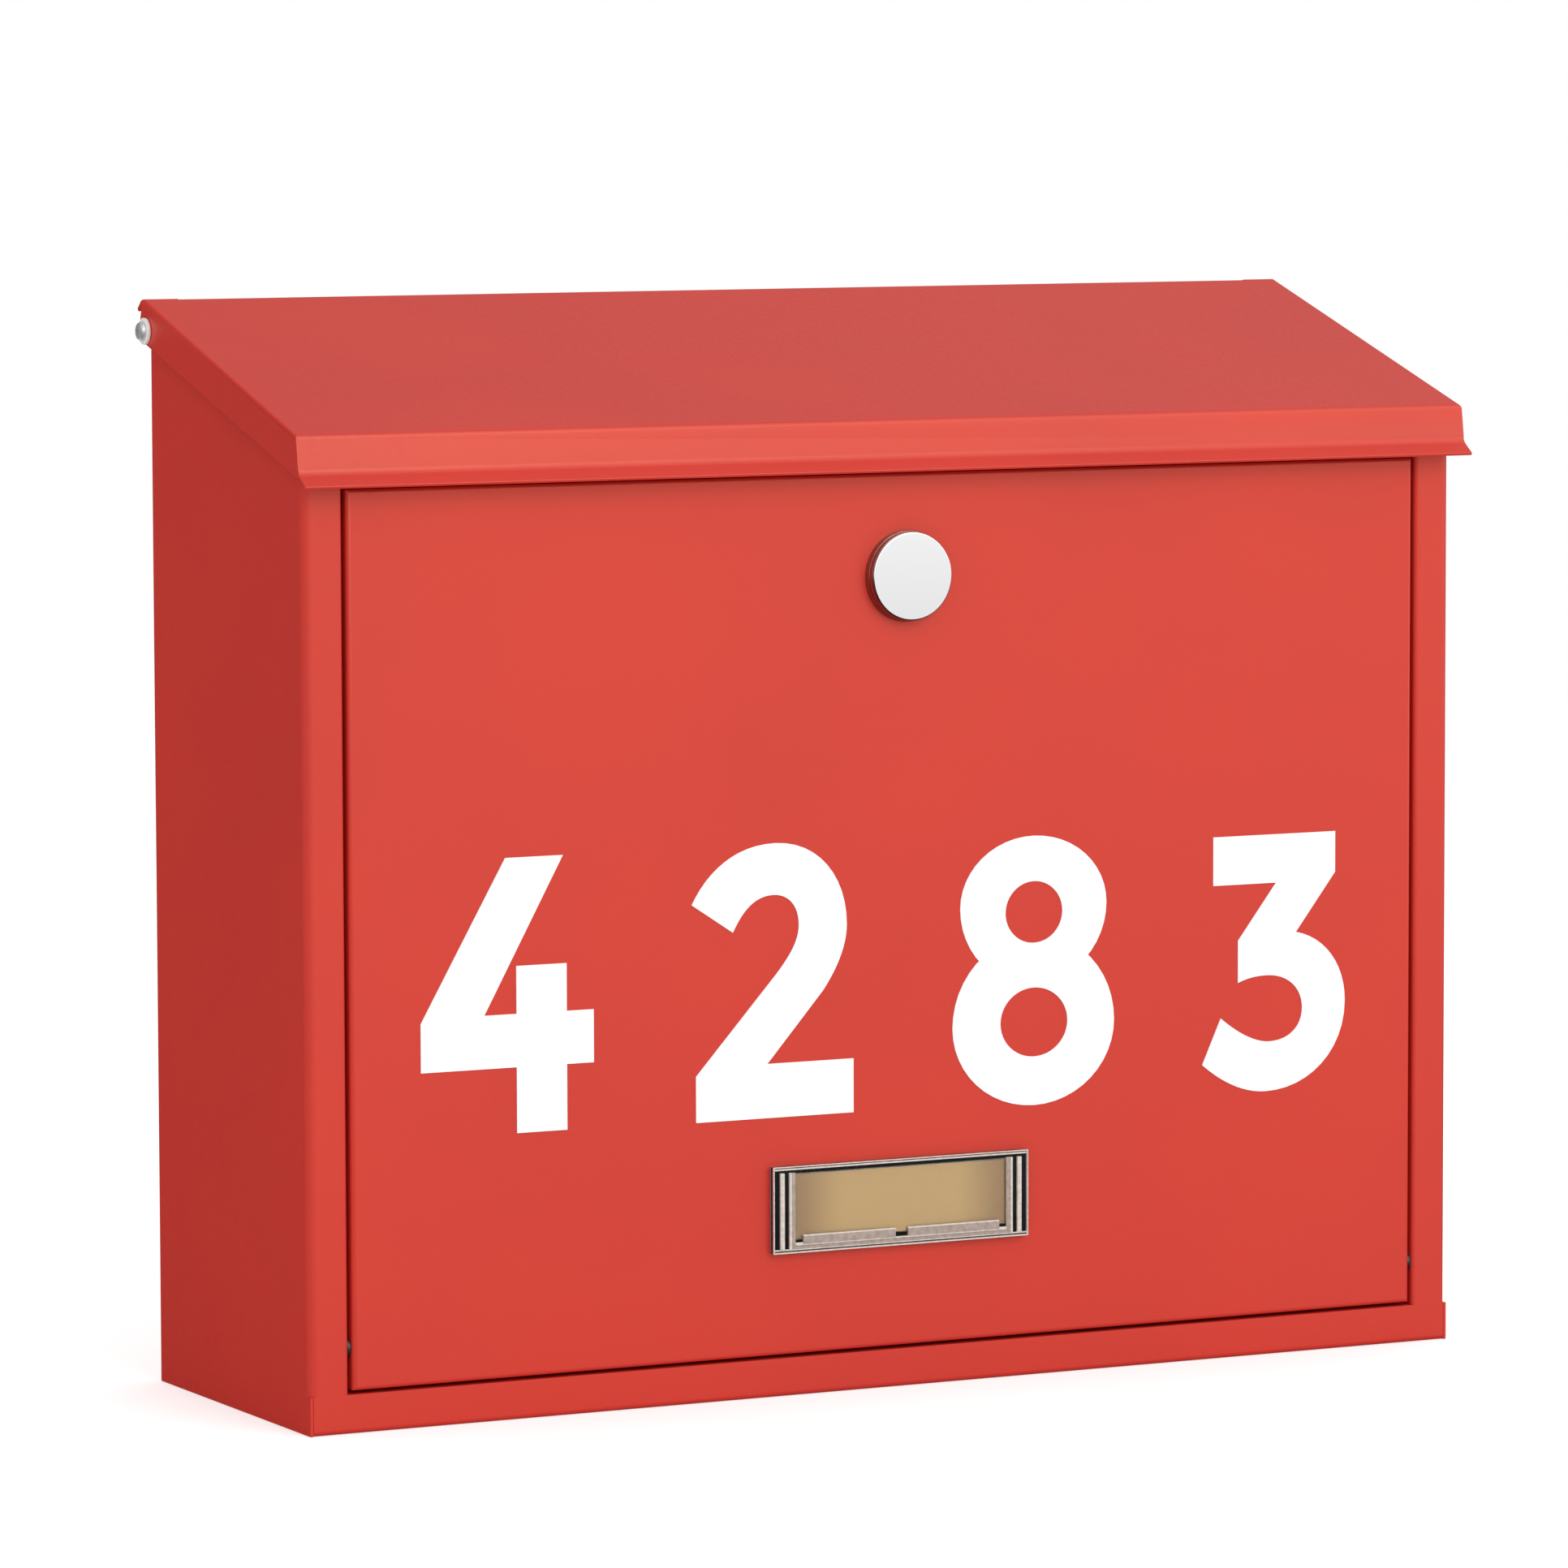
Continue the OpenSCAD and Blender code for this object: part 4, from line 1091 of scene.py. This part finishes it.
def pale_floor():
    """A plain white disc under the box, which fades into the background."""
    shape = bmesh.new()
    bmesh.ops.create_circle(shape, cap_ends=True, segments=96, radius=FLOOR_R)
    bottom = cad_box[0].z - 0.02 * MM
    bmesh.ops.translate(shape, verts=shape.verts, vec=(0, 0, bottom))
    mesh = mesh_of(shape, "pale_floor")
    floor = linked("pale_floor", mesh)
    material, tree, place = new_finish("matt_white_paper")
    flat = add(tree, "ShaderNodeVectorMath", {0: place, 1: (1, 1, 0)}, operation="MULTIPLY")
    away = add(tree, "ShaderNodeVectorMath", {0: flat.outputs["Vector"]}, operation="LENGTH")
    fade = mapped(tree, away.outputs["Value"], FLOOR_FADE_FROM, FLOOR_R, 0.0, 1.0,
        interpolation_type="SMOOTHSTEP")
    matt = add(tree, "ShaderNodeBsdfDiffuse", {"Color": linear("#F2F2F2")})
    glow = add(tree, "ShaderNodeEmission",
        {"Strength": times(tree, seen_straight(tree), FLOOR_LIFT)})
    paper = add(tree, "ShaderNodeAddShader", {0: matt.outputs[0], 1: glow.outputs[0]})
    gone = add(tree, "ShaderNodeBsdfTransparent")
    shader = add(tree, "ShaderNodeMixShader",
        {"Fac": fade, 1: paper.outputs[0], 2: gone.outputs[0]})
    shown_by(tree, shader)
    mesh.materials.append(material)
    floor.visible_glossy = False


def studio_surround():
    """White background, and a soft surround whose mirrored part is bright in front on the right.

    Low in front and on the left it is dark, as beside a table in a curtained studio, so that the
    satin coat deepens there.
    """
    world = bpy.data.worlds.new("studio_surround")
    bpy.context.scene.world = world
    world.use_nodes = True
    tree = world.node_tree
    tree.nodes.clear()
    way = add(tree, "ShaderNodeTexCoord").outputs["Generated"]

    def towards(direction):
        aim = Vector(direction).normalized()
        return add(tree, "ShaderNodeVectorMath", {0: way, 1: aim},
            operation="DOT_PRODUCT").outputs["Value"]

    def glow(direction, start, full):
        return mapped(tree, towards(direction), start, full, 0.0, 0.9,
            interpolation_type="SMOOTHSTEP")

    diffuse = mapped(tree, towards((-0.11, 0.0, 0.99)), -1.0, 1.0, 0.66, 0.96)
    front = mapped(tree, towards((0.45, -0.87, 0.20)), -1.0, 1.0, 0.0, 1.0)
    sweep = add(tree, "ShaderNodeValToRGB", {"Fac": front})
    stops = sweep.color_ramp.elements
    stops[0].position, stops[0].color = 0.0, (0.02, 0.02, 0.02, 1)
    stops[1].position, stops[1].color = 0.93, (1, 1, 1, 1)
    for position, grey in ((0.22, 0.02), (0.35, 0.175), (0.6, 0.19)):
        stops.new(position).color = (grey, grey, grey, 1)
    height = add(tree, "ShaderNodeSeparateXYZ", {"Vector": way}).outputs["Z"]
    rise = mapped(tree, height, -0.16, 0.03, 0.05, 2.1)
    panels = times(tree, sweep.outputs["Color"], rise)
    behind = add(tree, "ShaderNodeMath",
        {0: glow((0.45, 0.89, -0.09), 0.9, 0.99), 1: glow((-0.15, 0.72, -0.68), 0.88, 0.97)},
        operation="ADD")
    mirrored = add(tree, "ShaderNodeMath",
        {0: panels, 1: behind.outputs[0]}, operation="ADD")
    is_glossy = add(tree, "ShaderNodeLightPath").outputs["Is Glossy Ray"]
    surround = add(tree, "ShaderNodeMix",
        {"Factor": is_glossy, "A": diffuse, "B": mirrored.outputs[0]}, data_type="FLOAT")
    strength = add(tree, "ShaderNodeMix",
        {"Factor": seen_straight(tree), "A": surround.outputs["Result"], "B": 1.0},
        data_type="FLOAT")
    background = add(tree, "ShaderNodeBackground",
        {"Color": (1, 1, 1, 1), "Strength": strength.outputs["Result"]})
    add(tree, "ShaderNodeOutputWorld", {"Surface": background.outputs[0]})


def soft_lamp(name, place, aim, size, watts):
    """A square soft box, aimed at a point."""
    light = bpy.data.lights.new(name, "AREA")
    light.shape = "SQUARE"
    light.size = size
    light.energy = watts
    lamp = linked(name, light)
    lamp.location = place
    lamp.rotation_mode = "QUATERNION"
    lamp.rotation_quaternion = (Vector(aim) - Vector(place)).to_track_quat("-Z", "Y")


CAMERA_PLACE = Vector((-1.08757, -2.19302, 0.23649))
CAMERA_YAW, CAMERA_PITCH, CAMERA_ROLL = [math.radians(a) for a in (26.849, 5.230, -0.160)]
CAMERA_LENS = 185.97


def camera():
    """The camera at the photograph's place and angle."""
    yaw, pitch, roll = CAMERA_YAW, CAMERA_PITCH, CAMERA_ROLL
    ahead = Vector((math.sin(yaw) * math.cos(pitch), math.cos(yaw) * math.cos(pitch),
        -math.sin(pitch)))
    right = Vector((math.cos(yaw), -math.sin(yaw), 0))
    up = right.cross(ahead)
    rolled_right = math.cos(roll) * right + math.sin(roll) * up
    rolled_up = math.cos(roll) * up - math.sin(roll) * right
    data = bpy.data.cameras.new("camera")
    data.lens = CAMERA_LENS
    data.clip_start = 0.1
    seen_from = linked("camera", data)
    axes = (rolled_right, rolled_up, -ahead)
    for column, axis in enumerate(axes):
        for line in range(3):
            seen_from.matrix_world[line][column] = axis[line]
    seen_from.matrix_world.translation = CAMERA_PLACE
    bpy.context.scene.camera = seen_from


pale_floor()
studio_surround()
soft_lamp("key_lamp", (0.5, -3.0, 1.8), (0, -0.1, 0), 2.0, 33)
camera()
bpy.context.scene.view_settings.view_transform = "Standard"
